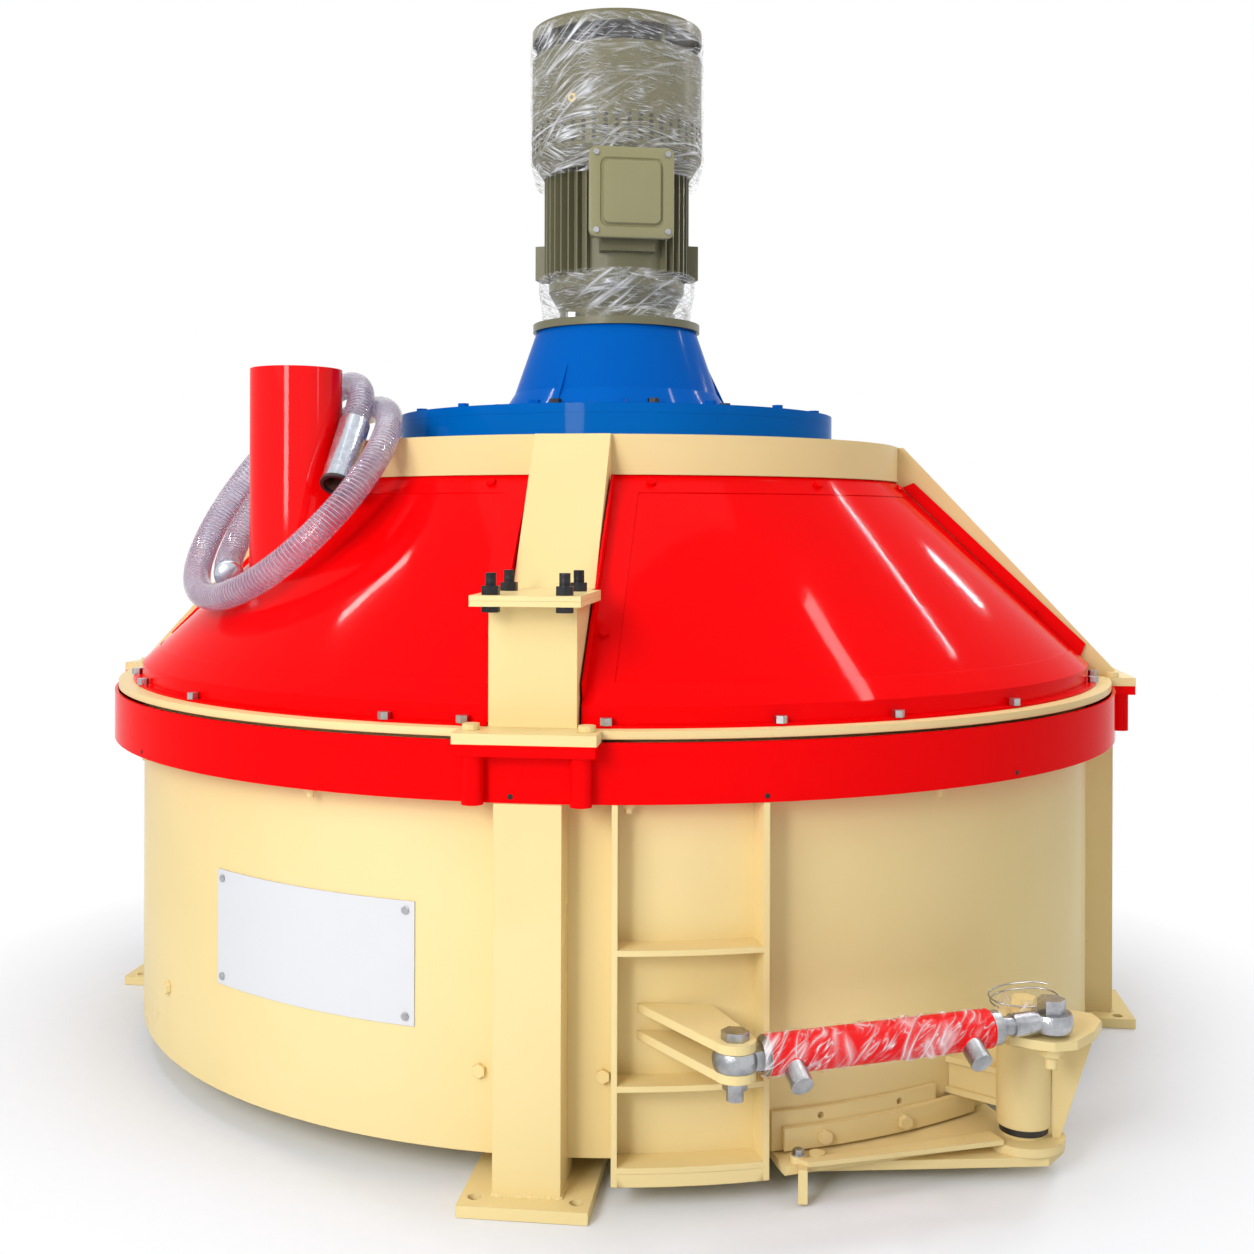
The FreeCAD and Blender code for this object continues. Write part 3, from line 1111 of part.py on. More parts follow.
def round_cord(points, radius):
    """A cord of straight runs joined by arcs that touch both, with sixteen flats round, and its length."""
    along = (points[1] - points[0]).normalize()
    side = along.cross(VECTOR(0, 0, 1)).normalize()
    other = along.cross(side)
    step = 2 * math.pi / 16
    corners = [points[0] + (side * math.cos(turn * step) + other * math.sin(turn * step)) * radius
               for turn in range(17)]
    section = Part.Face(Part.makePolygon(corners))
    pieces = []
    length = 0
    start = points[0]
    for before, corner, after in zip(points, points[1:], points[2:]):
        arriving = (corner - before).normalize()
        leaving = (after - corner).normalize()
        reach = 0.45 * min((corner - before).Length, (after - corner).Length)
        turn = arriving.getAngle(leaving)
        bend = reach / math.tan(turn / 2)
        run = corner - arriving * reach - start
        pieces.append(section.extrude(run))
        section = section.copy()
        section.translate(run)
        middle = start + run + (leaving - arriving * arriving.dot(leaving)).normalize() * bend
        axis = arriving.cross(leaving).normalize()
        pieces.append(section.revolve(middle, axis, math.degrees(turn)))
        section = section.copy()
        section.rotate(middle, axis, math.degrees(turn))
        length += run.Length + bend * turn
        start = corner + leaving * reach
    pieces.append(section.extrude(points[-1] - start))
    length += (points[-1] - start).Length
    return pieces[0].fuse(pieces[1:]), length


def sleeve(end, inside, length):
    """A short tube on the end of the hose, in line with its last run."""
    outward = (end - inside).normalize()
    solid = Part.makeCylinder(float(S.sleeve_radius), float(length), end, outward)
    return solid.cut(Part.makeCylinder(float(S.sleeve_bore), float(length), end, outward))


hose_points = [VECTOR(*point) for point in HOSE_TOP]
hose_points += [coil_point(0.2528 + step * 25 / 360) for step in range(12)]
hose_points += [VECTOR(*point) for point in HOSE_TAIL]
hose, hose_length = round_cord(hose_points, float(S.hose_radius))
hose_volume = math.pi * float(S.hose_radius) ** 2 * hose_length
print(f"hose {hose_length:.0f} mm long, volume share {hose.Volume / hose_volume:.4f}")
node("water_hose", shaped("hose_tube", hose))
node("hose_cuffs", shaped("sleeves", Part.makeCompound([
    sleeve(hose_points[0], hose_points[1], S.sleeve_length),
    sleeve(hose_points[-1], hose_points[-2], S.tail_sleeve_length)])))


def export():
    """Checks every object, then writes one STEP file for each node."""
    DOC.recompute()
    for thing in DOC.Objects:
        if "Invalid" in thing.State or "Error" in thing.State:
            raise RuntimeError(f"{thing.Name} ({thing.Label}) failed: {thing.State}")
    os.makedirs("parts", exist_ok=True)
    triangles = 0
    for name, thing in NODES.items():
        shape = thing.Shape
        if shape.isNull() or not shape.isValid() or not shape.Solids:
            raise RuntimeError(f"{name} has no valid shape")
        shape.exportStep(f"parts/{name}.step")
        count = len(shape.tessellate(0.5)[1])
        triangles += count
        print(f"{name}: {len(shape.Solids)} solids, {shape.Volume / 1e6:.3f} l, {count} facets")
    print(f"{len(NODES)} nodes, {triangles} facets")


export()
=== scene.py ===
# %% [markdown]
# # A planetary pan mixer, dressed for its portrait
#
# The mixer is a welded steel machine: a round pan on four square legs, a red sheet metal cone with a
# cream frame over it, a blue gear head, and a motor still wrapped in stretch film from the paint shop.
# The CAD model already has every steel part in its place, in metres. This lesson gives those parts
# their paint and metal, and adds what a CAD model leaves out: film, hose, weld beads and threads.

# %% Load the frame
import json
import math

import bmesh
import bpy
from mathutils import Matrix, Vector, noise


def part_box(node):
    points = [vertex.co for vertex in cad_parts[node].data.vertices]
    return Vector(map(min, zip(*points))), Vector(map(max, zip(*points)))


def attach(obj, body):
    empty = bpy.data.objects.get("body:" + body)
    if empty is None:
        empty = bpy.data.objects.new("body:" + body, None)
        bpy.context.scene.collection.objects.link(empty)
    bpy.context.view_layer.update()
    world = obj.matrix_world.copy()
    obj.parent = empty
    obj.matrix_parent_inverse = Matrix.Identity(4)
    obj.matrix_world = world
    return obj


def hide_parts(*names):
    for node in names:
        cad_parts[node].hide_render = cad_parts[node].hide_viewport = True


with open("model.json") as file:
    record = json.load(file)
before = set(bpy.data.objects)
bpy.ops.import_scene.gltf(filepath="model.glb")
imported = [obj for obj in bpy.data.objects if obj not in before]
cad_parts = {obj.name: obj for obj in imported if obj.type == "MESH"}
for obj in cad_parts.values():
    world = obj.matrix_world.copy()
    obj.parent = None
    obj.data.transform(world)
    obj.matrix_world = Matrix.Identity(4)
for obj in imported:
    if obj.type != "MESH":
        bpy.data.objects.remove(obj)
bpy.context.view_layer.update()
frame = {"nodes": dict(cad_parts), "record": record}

# %% [markdown]
# ## Camera
#
# The photograph was taken at chest height, level, a little to the right of the front leg. A camera that
# looks level keeps the mixer's uprights upright, so the picture is moved down with the lens shift, as on
# a view camera, and not by tilting. The focal length follows from how fast the sizes fall with distance.

# %% Camera
scene = bpy.context.scene
lens = bpy.data.cameras.new("view_camera")
lens.sensor_fit = "HORIZONTAL"
lens.sensor_width = 36
lens.lens = 42.57
lens.shift_x = 0.009
lens.shift_y = -0.083
lens.clip_end = 60
camera = bpy.data.objects.new("view_camera", lens)
camera.location = (0.392, -3.103, 0.988)
camera.rotation_euler = (math.radians(90), math.radians(-0.17), math.radians(7.2))
scene.collection.objects.link(camera)
scene.camera = camera
scene.view_settings.view_transform = "Standard"
print(f"camera at {tuple(camera.location)} with a {lens.lens} mm lens")

# %% [markdown]
# ## Light
#
# Glossy enamel shows the lamps as much as its own colour, so the lamps are shaped like the softboxes of
# a photo studio: two tall ones beside the camera make the long streaks down the tube and the cone, and a
# wide one overhead lights the tops. The world adds an even fill, and is plain white to the camera.

# %% Lamps and world


def softbox(name, place, target, width, height, power, along=(0, 0, 1)):
    """A rectangular lamp that faces a target, with its height along a direction."""
    light = bpy.data.lights.new(name, "AREA")
    light.shape = "RECTANGLE"
    light.size = width
    light.size_y = height
    light.energy = power
    lamp = bpy.data.objects.new(name, light)
    back = (Vector(place) - Vector(target)).normalized()
    right = Vector(along).cross(back).normalized()
    lamp.matrix_world = Matrix.LocRotScale(Vector(place), Matrix((right, back.cross(right), back)).transposed(),
                                           None)
    scene.collection.objects.link(lamp)
    return lamp


softbox("key_box", (-1.9, -3.8, 2.6), (-0.1, 0, 0.75), 1.2, 1.9, 62)
softbox("tube_strip", (-0.82, -3.74, 1.6), (-0.54, -0.45, 1.3), 0.60, 1.2, 42)
softbox("side_strip", (2.9, -1.4, 2.2), (0, 0, 1.0), 0.20, 1.6, 6)
softbox("main_streak", (2.22, 1.29, 2.94), (0.58, -0.54, 0.87), 0.025, 0.80, 14, (0.54, -0.45, -0.33))
softbox("second_streak", (2.17, 2.10, 2.23), (0.66, -0.38, 0.90), 0.025, 0.30, 8, (0.20, -0.07, -0.18))
softbox("cone_glow", (1.97, 0.0, 3.5), (0.45, -0.77, 0.77), 0.14, 0.46, 10, (0.33, -0.20, -0.25))
softbox("left_glow", (-2.2, 0.1, 3.33), (-0.31, -0.71, 0.88), 0.06, 0.50, 10, (0.29, -0.04, 0.27))
softbox("top_box", (-0.4, 0.6, 4.6), (0, 0, 0.8), 3.0, 3.0, 40)

world = bpy.data.worlds.new("studio")
scene.world = world
world.use_nodes = True
fill = world.node_tree.nodes["Background"]
fill.inputs["Color"].default_value = (1, 1, 1, 1)
path = world.node_tree.nodes.new("ShaderNodeLightPath")
direct = world.node_tree.nodes.new("ShaderNodeMath")
direct.operation = "MAXIMUM"
seen = world.node_tree.nodes.new("ShaderNodeMath")
seen.operation = "MAXIMUM"
level = world.node_tree.nodes.new("ShaderNodeMapRange")
level.inputs["To Max"].default_value = 1.0
links = world.node_tree.links
links.new(path.outputs["Is Camera Ray"], direct.inputs[0])
links.new(path.outputs["Is Glossy Ray"], direct.inputs[1])
links.new(direct.outputs["Value"], seen.inputs[0])
links.new(path.outputs["Is Transmission Ray"], seen.inputs[1])
links.new(seen.outputs["Value"], level.inputs["Value"])
heading = world.node_tree.nodes.new("ShaderNodeTexCoord")
parts = world.node_tree.nodes.new("ShaderNodeSeparateXYZ")
links.new(heading.outputs["Generated"], parts.inputs["Vector"])
overhead = world.node_tree.nodes.new("ShaderNodeMapRange")
for key, value in (("From Min", -0.1), ("From Max", 0.9), ("To Min", 0.16), ("To Max", 0.72)):
    overhead.inputs[key].default_value = value
links.new(parts.outputs["Z"], overhead.inputs["Value"])
links.new(overhead.outputs["Result"], level.inputs["To Min"])
links.new(level.outputs["Result"], fill.inputs["Strength"])
print("eight lamps and a white world")

# %% [markdown]
# ## Shader groups
#
# The same few effects come back on every paint: colour that drifts over a large panel, dust on the faces
# that look up, and edges that are never quite sharp. Each effect is one shader node group, built once and
# placed in each material with its own colours. A group gives out only colours, masks, values and normals,
# and the shader itself stays in the material.

# %% Node helpers


def put_node(tree, kind, inputs=(), **settings):
    """Adds a node to a tree, with its settings and the values of its inputs."""
    made = tree.nodes.new(kind)
    for setting, value in settings.items():
        setattr(made, setting, value)
    for key, value in dict(inputs).items():
        made.inputs[key].default_value = value
    return made


def new_group(name, inputs, outputs):
    """A shader node group with named sockets, and its input and output nodes."""
    tree = bpy.data.node_groups.new(name, "ShaderNodeTree")
    kinds = {"colour": "NodeSocketColor", "value": "NodeSocketFloat", "vector": "NodeSocketVector"}
    for socket, (kind, default) in inputs.items():
        made = tree.interface.new_socket(socket, in_out="INPUT", socket_type=kinds[kind])
        made.default_value = default
    for socket, kind in outputs.items():
        tree.interface.new_socket(socket, in_out="OUTPUT", socket_type=kinds[kind])
    return tree, tree.nodes.new("NodeGroupInput"), tree.nodes.new("NodeGroupOutput")


def blended(tree, share, first, second):
    """Mixes two colours by a share, and gives back the colour socket."""
    mix = tree.nodes.new("ShaderNodeMix")
    mix.data_type = "RGBA"
    tree.links.new(share, mix.inputs["Factor"])
    tree.links.new(first, mix.inputs[6])
    tree.links.new(second, mix.inputs[7])
    return mix.outputs[2]


def calculated(tree, operation, first, second=None):
    """One sum on sockets or numbers."""
    node = tree.nodes.new("ShaderNodeMath")
    node.operation = operation
    for index, value in enumerate((first, second)):
        if value is None:
            continue
        if isinstance(value, (int, float)):
            node.inputs[index].default_value = value
        else:
            tree.links.new(value, node.inputs[index])
    return node.outputs["Value"]


def ranged(tree, value, low, high, to_low, to_high):
    """Stretches a value from one range to another."""
    node = put_node(tree, "ShaderNodeMapRange", {
        "From Min": low, "From Max": high, "To Min": to_low, "To Max": to_high})
    tree.links.new(value, node.inputs["Value"])
    return node.outputs["Result"]


print("helpers ready")

# %% [markdown]
# ### Enamel
#
# Enamel sprayed on sheet metal isn't perfectly even. Its colour drifts a little, it is thinner along the
# edges, dust settles on level faces, and the sheet under it has shallow dents that bend the reflections.
# A Bevel node rounds the shading at the edges, so that they catch light as real edges do. Modelling all
# of that would take many faces, and a shader does it at any size.

# %% Enamel group


def enamel_group():
    tree, given, out = new_group(
        "Enamel skin",
        {"Paint": ("colour", (0.8, 0.8, 0.8, 1)), "Shade": ("colour", (0.7, 0.7, 0.7, 1)),
         "Dust": ("colour", (0.6, 0.55, 0.48, 1)), "Dust Share": ("value", 0.25),
         "Roughness": ("value", 0.2), "Edge": ("value", 0.002)},
        {"Color": "colour", "Roughness": "value", "Height": "value", "Normal": "vector"})
    links = tree.links
    place = put_node(tree, "ShaderNodeTexCoord")
    shape = put_node(tree, "ShaderNodeNewGeometry")
    drift = put_node(tree, "ShaderNodeTexNoise", {"Scale": 2.1, "Detail": 4})
    speck = put_node(tree, "ShaderNodeTexNoise", {"Scale": 34, "Detail": 6, "Roughness": 0.65})
    dents = put_node(tree, "ShaderNodeTexNoise", {"Scale": 5.5, "Detail": 1})
    peel = put_node(tree, "ShaderNodeTexNoise", {"Scale": 260, "Detail": 1})
    for texture in (drift, speck, dents, peel):
        links.new(place.outputs["Object"], texture.inputs["Vector"])
    rounding = put_node(tree, "ShaderNodeBevel", samples=4)
    links.new(given.outputs["Edge"], rounding.inputs["Radius"])
    turned = put_node(tree, "ShaderNodeVectorMath", operation="DOT_PRODUCT")
    links.new(rounding.outputs["Normal"], turned.inputs[0])
    links.new(shape.outputs["True Normal"], turned.inputs[1])
    edge = ranged(tree, turned.outputs["Value"], 0.99, 0.80, 0, 0.5)
    paint = blended(tree, ranged(tree, drift.outputs["Fac"], 0.38, 0.66, 0, 0.55), given.outputs["Paint"],
                    given.outputs["Shade"])
    paint = blended(tree, edge, paint, given.outputs["Shade"])
    up = put_node(tree, "ShaderNodeSeparateXYZ")
    links.new(shape.outputs["Normal"], up.inputs["Vector"])
    level = ranged(tree, up.outputs["Z"], 0.35, 0.98, 0, 1)
    patches = ranged(tree, speck.outputs["Fac"], 0.40, 0.74, 0, 1)
    dust = calculated(tree, "MULTIPLY", calculated(tree, "MULTIPLY", level, patches),
                      given.outputs["Dust Share"])
    links.new(blended(tree, dust, paint, given.outputs["Dust"]), out.inputs["Color"])
    spread = ranged(tree, drift.outputs["Fac"], 0.3, 0.7, -0.03, 0.05)
    rough = calculated(tree, "ADD", given.outputs["Roughness"], spread)
    links.new(calculated(tree, "ADD", rough, dust), out.inputs["Roughness"])
    fine = calculated(tree, "MULTIPLY", peel.outputs["Fac"], 0.05)
    links.new(calculated(tree, "ADD", dents.outputs["Fac"], fine), out.inputs["Height"])
    links.new(rounding.outputs["Normal"], out.inputs["Normal"])
    return tree


ENAMEL = enamel_group()
print("enamel group with", len(ENAMEL.nodes), "nodes")

# %% [markdown]
# ### Bare metal
#
# Zinc, machined steel and black oxide differ in colour and shine, but share fine grain, blotches of oil
# or handling, and edges that shine brighter. One group serves them all.

# %% Metal group


def metal_group():
    tree, given, out = new_group(
        "Metal skin",
        {"Bright": ("colour", (0.7, 0.7, 0.7, 1)), "Dull": ("colour", (0.4, 0.4, 0.4, 1)),
         "Roughness": ("value", 0.3), "Grain": ("value", 300.0), "Edge": ("value", 0.001)},
        {"Color": "colour", "Roughness": "value", "Height": "value", "Normal": "vector"})
    links = tree.links
    place = put_node(tree, "ShaderNodeTexCoord")
    shape = put_node(tree, "ShaderNodeNewGeometry")
    blotch = put_node(tree, "ShaderNodeTexNoise", {"Scale": 26, "Detail": 5, "Roughness": 0.6})
    grain = put_node(tree, "ShaderNodeTexNoise", {"Detail": 3})
    links.new(place.outputs["Object"], blotch.inputs["Vector"])
    links.new(place.outputs["Object"], grain.inputs["Vector"])
    links.new(given.outputs["Grain"], grain.inputs["Scale"])
    rounding = put_node(tree, "ShaderNodeBevel", samples=4)
    links.new(given.outputs["Edge"], rounding.inputs["Radius"])
    turned = put_node(tree, "ShaderNodeVectorMath", operation="DOT_PRODUCT")
    links.new(rounding.outputs["Normal"], turned.inputs[0])
    links.new(shape.outputs["True Normal"], turned.inputs[1])
    edge = ranged(tree, turned.outputs["Value"], 0.99, 0.80, 0, 0.7)
    colour = blended(tree, ranged(tree, blotch.outputs["Fac"], 0.36, 0.68, 0, 1), given.outputs["Bright"],
                     given.outputs["Dull"])
    links.new(blended(tree, edge, colour, given.outputs["Bright"]), out.inputs["Color"])
    spread = ranged(tree, blotch.outputs["Fac"], 0.3, 0.7, -0.07, 0.14)
    links.new(calculated(tree, "ADD", given.outputs["Roughness"], spread), out.inputs["Roughness"])
    links.new(grain.outputs["Fac"], out.inputs["Height"])
    links.new(rounding.outputs["Normal"], out.inputs["Normal"])
    return tree


METAL = metal_group()
print("metal group with", len(METAL.nodes), "nodes")

# %% [markdown]
# ### Film creases
#
# Stretch film is clear where it lies tight and white where it is creased. The creases are fine strokes
# that run along the pull, nearly level on the motor, and cross at small slants. A noise that is drawn out
# in one direction and folded at its middle value gives such lines. Three slants and two sizes are laid
# over each other, and a coarser noise breaks the lines into strokes.

# %% Crease group


def crease_group():
    tree, given, out = new_group(
        "Film creases",
        {"Scale": ("value", 9.0), "Stretch": ("value", 8.0), "Sharpness": ("value", 9.0),
         "Turn": ("value", 0.0)},
        {"Creases": "value", "Height": "value"})
    links = tree.links
    place = put_node(tree, "ShaderNodeTexCoord")
    bent = put_node(tree, "ShaderNodeTexNoise", {"Scale": 4, "Detail": 1})
    links.new(place.outputs["Object"], bent.inputs["Vector"])
    pull = put_node(tree, "ShaderNodeVectorMath", operation="SCALE")
    pull.inputs["Scale"].default_value = 0.045
    links.new(bent.outputs["Color"], pull.inputs[0])
    moved = put_node(tree, "ShaderNodeVectorMath", operation="ADD")
    links.new(place.outputs["Object"], moved.inputs[0])
    links.new(pull.outputs["Vector"], moved.inputs[1])
    turn = tree.nodes.new("ShaderNodeCombineXYZ")
    links.new(given.outputs["Turn"], turn.inputs["Y"])
    laid = tree.nodes.new("ShaderNodeMapping")
    links.new(moved.outputs["Vector"], laid.inputs["Vector"])
    links.new(turn.outputs["Vector"], laid.inputs["Rotation"])
    longer = tree.nodes.new("ShaderNodeCombineXYZ")
    longer.inputs["X"].default_value = 1
    longer.inputs["Y"].default_value = 1
    links.new(given.outputs["Stretch"], longer.inputs["Z"])
    strokes = []
    for across, along, size in ((0.10, 0.14, 1.0), (-0.20, -0.30, 1.7), (0.35, 0.62, 0.8), (0.05, -0.08, 3.1)):
        turned = put_node(tree, "ShaderNodeMapping", {"Rotation": (across, along, 0)})
        links.new(laid.outputs["Vector"], turned.inputs["Vector"])
        drawn = put_node(tree, "ShaderNodeVectorMath", operation="MULTIPLY")
        links.new(turned.outputs["Vector"], drawn.inputs[0])
        links.new(longer.outputs["Vector"], drawn.inputs[1])
        folded = put_node(tree, "ShaderNodeTexNoise", {"Detail": 1.5, "Roughness": 0.4})
        links.new(drawn.outputs["Vector"], folded.inputs["Vector"])
        links.new(calculated(tree, "MULTIPLY", given.outputs["Scale"], size), folded.inputs["Scale"])
        away = calculated(tree, "ABSOLUTE", calculated(tree, "SUBTRACT", folded.outputs["Fac"], 0.5))
        ridge = calculated(tree, "SUBTRACT", 1.0, calculated(tree, "MULTIPLY", away, 4.0))
        ridge = calculated(tree, "POWER", calculated(tree, "MAXIMUM", ridge, 0.0), given.outputs["Sharpness"])
        broken = put_node(tree, "ShaderNodeTexNoise", {"Scale": 11 * size, "Detail": 2})
        links.new(turned.outputs["Vector"], broken.inputs["Vector"])
        strokes.append(calculated(tree, "MULTIPLY", ridge,
                                  ranged(tree, broken.outputs["Fac"], 0.44, 0.60, 0, 1)))
    both = strokes[0]
    for stroke in strokes[1:]:
        both = calculated(tree, "MAXIMUM", both, stroke)
    links.new(both, out.inputs["Creases"])
    links.new(both, out.inputs["Height"])
    return tree


CREASES = crease_group()
print("crease group with", len(CREASES.nodes), "nodes")

# %% [markdown]
# ## Materials
#
# A colour as it is seen on a screen isn't a colour as the renderer adds it up, so each is written as seen
# and changed to linear light once.

# %% Paints and metals


def linear(red, green, blue):
    """A screen colour of 0 to 255, as linear light with an alpha."""
    parts = [value / 255 for value in (red, green, blue)]
    return tuple(p / 12.92 if p <= 0.04045 else ((p + 0.055) / 1.055) ** 2.4 for p in parts) + (1.0,)


def new_material(name, group, values, bump, strength=1.0, **shader):
    """A material whose skin comes from a group, with a bump of a given depth."""
    material = bpy.data.materials.new(name)
    material.use_nodes = True
    tree = material.node_tree
    surface = tree.nodes["Principled BSDF"]
    for key, value in shader.items():
        surface.inputs[key.replace("_", " ")].default_value = value
    skin = tree.nodes.new("ShaderNodeGroup")
    skin.node_tree = group
    for key, value in values.items():
        skin.inputs[key].default_value = value
    relief = put_node(tree, "ShaderNodeBump", {"Distance": bump, "Strength": strength})
    tree.links.new(skin.outputs["Color"], surface.inputs["Base Color"])
    tree.links.new(skin.outputs["Roughness"], surface.inputs["Roughness"])
    tree.links.new(skin.outputs["Height"], relief.inputs["Height"])
    tree.links.new(skin.outputs["Normal"], relief.inputs["Normal"])
    tree.links.new(relief.outputs["Normal"], surface.inputs["Normal"])
    return material


def enamel(name, paint, shade, dust_share, roughness, edge=0.002, bump=0.0035, **shader):
    values = {"Paint": linear(*paint), "Shade": linear(*shade), "Dust": linear(196, 180, 150),
              "Dust Share": dust_share, "Roughness": roughness, "Edge": edge}
    return new_material(name, ENAMEL, values, bump, **shader)


def metal(name, bright, dull, roughness, grain=300.0, metallic=1.0, bump=0.0004, **shader):
    values = {"Bright": linear(*bright), "Dull": linear(*dull), "Roughness": roughness, "Grain": grain}
    return new_material(name, METAL, values, bump, Metallic=metallic, **shader)


cream_enamel = enamel("cream_enamel", (233, 212, 155), (224, 201, 141), 0.0, 0.28, bump=0.0007,
                      Specular_IOR_Level=0.02, Coat_Weight=0.05, Coat_Roughness=0.06)
red_enamel = enamel("red_enamel", (240, 4, 8), (228, 3, 6), 0.0, 0.10, bump=0.0008,
                    Specular_IOR_Level=0.005, Coat_Weight=0.05, Coat_Roughness=0.03)
blue_enamel = enamel("blue_enamel", (0, 96, 186), (0, 82, 166), 0.0, 0.15, bump=0.001,
                     Specular_IOR_Level=0.005, Coat_Weight=0.06, Coat_Roughness=0.04)
tube_enamel = enamel("tube_enamel", (240, 4, 8), (228, 3, 6), 0.0, 0.10, bump=0.0006,
                     Specular_IOR_Level=0.005, Coat_Weight=0.35, Coat_Roughness=0.07)
motor_enamel = enamel("motor_enamel", (124, 120, 93), (104, 100, 76), 0.03, 0.30, edge=0.0015,
                      Specular_IOR_Level=0.16, Coat_Weight=0.04, Coat_Roughness=0.10)
lid_enamel = enamel("lid_enamel", (152, 147, 110), (138, 133, 98), 0.03, 0.28, edge=0.0015,
                    Specular_IOR_Level=0.25, Coat_Weight=0.08, Coat_Roughness=0.10)
black_oxide = metal("black_oxide", (52, 52, 56), (26, 26, 29), 0.36, metallic=0.6)
zinc_plate = metal("zinc_plate", (196, 198, 202), (150, 150, 152), 0.28)
turned_steel = metal("turned_steel", (188, 190, 194), (138, 140, 144), 0.24, grain=500.0)
wear_plate = metal("wear_plate", (120, 116, 110), (74, 66, 58), 0.55, grain=90.0, metallic=0.7, bump=0.0012)
fan_plastic = enamel("fan_plastic", (48, 48, 50), (36, 36, 38), 0.4, 0.5)
# Painted shade: the next two colours are the near-black and dark grey seen inside holes and vent slots, which are
# drawn as flat pads.
painted_hole_shade = enamel("painted_hole_shade", (18, 16, 16), (8, 8, 8), 0.0, 0.7, edge=0.0003, bump=0.0002)
vent_shade = enamel("vent_shade", (64, 62, 50), (46, 44, 36), 0.0, 0.6, edge=0.0003, bump=0.0002)
yellow_ring = enamel("yellow_ring", (244, 208, 10), (230, 190, 4), 0.0, 0.3, edge=0.0005, bump=0.0002)
plate_white = enamel("plate_white", (212, 213, 215), (204, 206, 209), 0.02, 0.3, edge=0.001,
                     bump=0.0008, Specular_IOR_Level=0.12)
print("paints and metals ready")

# %% [markdown]
# ## Dress the CAD nodes
#
# The record gives each node a material slot. One table turns slots into materials, so a node that comes
# later is dressed by the same rule.

# %% Slots to materials


def barrel_material():
    """Red enamel on the barrel, bare steel on its eye, gland and ports, told apart by their places."""
    material = metal("painted_barrel", (186, 188, 190), (142, 144, 146), 0.30)
    tree = material.node_tree
    surface = tree.nodes["Principled BSDF"]
    surface.inputs["Specular IOR Level"].default_value = 0.06
    steel_colour = surface.inputs["Base Color"].links[0].from_socket
    steel_rough = surface.inputs["Roughness"].links[0].from_socket
    paint = tree.nodes.new("ShaderNodeGroup")
    paint.node_tree = ENAMEL
    for key, value in (("Paint", linear(240, 4, 8)), ("Shade", linear(222, 3, 6)), ("Dust Share", 0.0),
                       ("Roughness", 0.2), ("Edge", 0.001)):
        paint.inputs[key].default_value = value
    turn = math.atan2(LEVER_PIN.y - REAR_PIN.y, LEVER_PIN.x - REAR_PIN.x)
    back = Matrix.Rotation(-turn, 3, "Z") @ -REAR_PIN
    place = put_node(tree, "ShaderNodeTexCoord")
    local = put_node(tree, "ShaderNodeMapping", {"Rotation": (0, 0, -turn), "Location": tuple(back)})
    tree.links.new(place.outputs["Object"], local.inputs["Vector"])
    parts = put_node(tree, "ShaderNodeSeparateXYZ")
    tree.links.new(local.outputs["Vector"], parts.inputs["Vector"])
    eye = calculated(tree, "LESS_THAN", parts.outputs["X"], 0.045)
    gland = calculated(tree, "GREATER_THAN", parts.outputs["X"], 0.3955)
    away = calculated(tree, "ADD", calculated(tree, "MULTIPLY", parts.outputs["Y"], parts.outputs["Y"]),
                      calculated(tree, "MULTIPLY", parts.outputs["Z"], parts.outputs["Z"]))
    port = calculated(tree, "GREATER_THAN", away, 0.0305 ** 2)
    bare = calculated(tree, "MAXIMUM", calculated(tree, "MAXIMUM", eye, gland), port)
    tree.links.new(blended(tree, bare, paint.outputs["Color"], steel_colour), surface.inputs["Base Color"])
    tree.links.new(bare, surface.inputs["Metallic"])
    mixed = put_node(tree, "ShaderNodeMix", data_type="FLOAT")
    tree.links.new(bare, mixed.inputs["Factor"])
    tree.links.new(paint.outputs["Roughness"], mixed.inputs[2])
    tree.links.new(steel_rough, mixed.inputs[3])
    tree.links.new(mixed.outputs[0], surface.inputs["Roughness"])
    return material


REAR_PIN = Vector((0.302, -1.074, 0.257))
LEVER_PIN = Vector((0.757, -0.856, 0.257))
FINISHES = {
    "cream_paint": cream_enamel, "red_paint": red_enamel, "blue_paint": blue_enamel,
    "motor_paint": motor_enamel, "black_steel": black_oxide, "zinc_steel": zinc_plate,
    "machined_steel": turned_steel, "wear_steel": wear_plate, "plate_white": plate_white,
    "fan_plastic": fan_plastic, "hose_pvc": turned_steel, "cuff_steel": turned_steel,
}
slot_of = {part["node"]: part["material_slot"] for part in frame["record"]["subparts"]}
for name, node in frame["nodes"].items():
    if not node.material_slots:
        node.data.materials.append(None)
    for holder in node.material_slots:
        holder.material = FINISHES[slot_of[name]]
for holder in frame["nodes"]["cylinder_barrel"].material_slots:
    holder.material = barrel_material()
for holder in frame["nodes"]["inlet_tube"].material_slots:
    holder.material = tube_enamel
print(f"{len(slot_of)} nodes dressed in {len(FINISHES)} finishes")

# %% [markdown]
# ## Mesh helpers
#
# Round pieces are made as rings of points joined into bands. The same function serves a turned cap, a
# sleeve and a film that wraps a cylinder, because only the rings differ.

# %% Piece helpers


def piece(name, mesh, material, body, smooth_angle=35):
    """Makes an object of a mesh, with its faces outward, and lets it ride on a body."""
    tidy = bmesh.new()
    tidy.from_mesh(mesh)
    bmesh.ops.remove_doubles(tidy, verts=tidy.verts, dist=1e-6)
    bmesh.ops.recalc_face_normals(tidy, faces=tidy.faces)
    tidy.to_mesh(mesh)
    tidy.free()
    mesh.materials.clear()
    mesh.materials.append(material)
    mesh.shade_smooth()
    mesh.set_sharp_from_angle(angle=math.radians(smooth_angle))
    made = bpy.data.objects.new(name, mesh)
    scene.collection.objects.link(made)
    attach(made, body)
    print(f"{name}: {len(mesh.polygons)} faces")
    return made


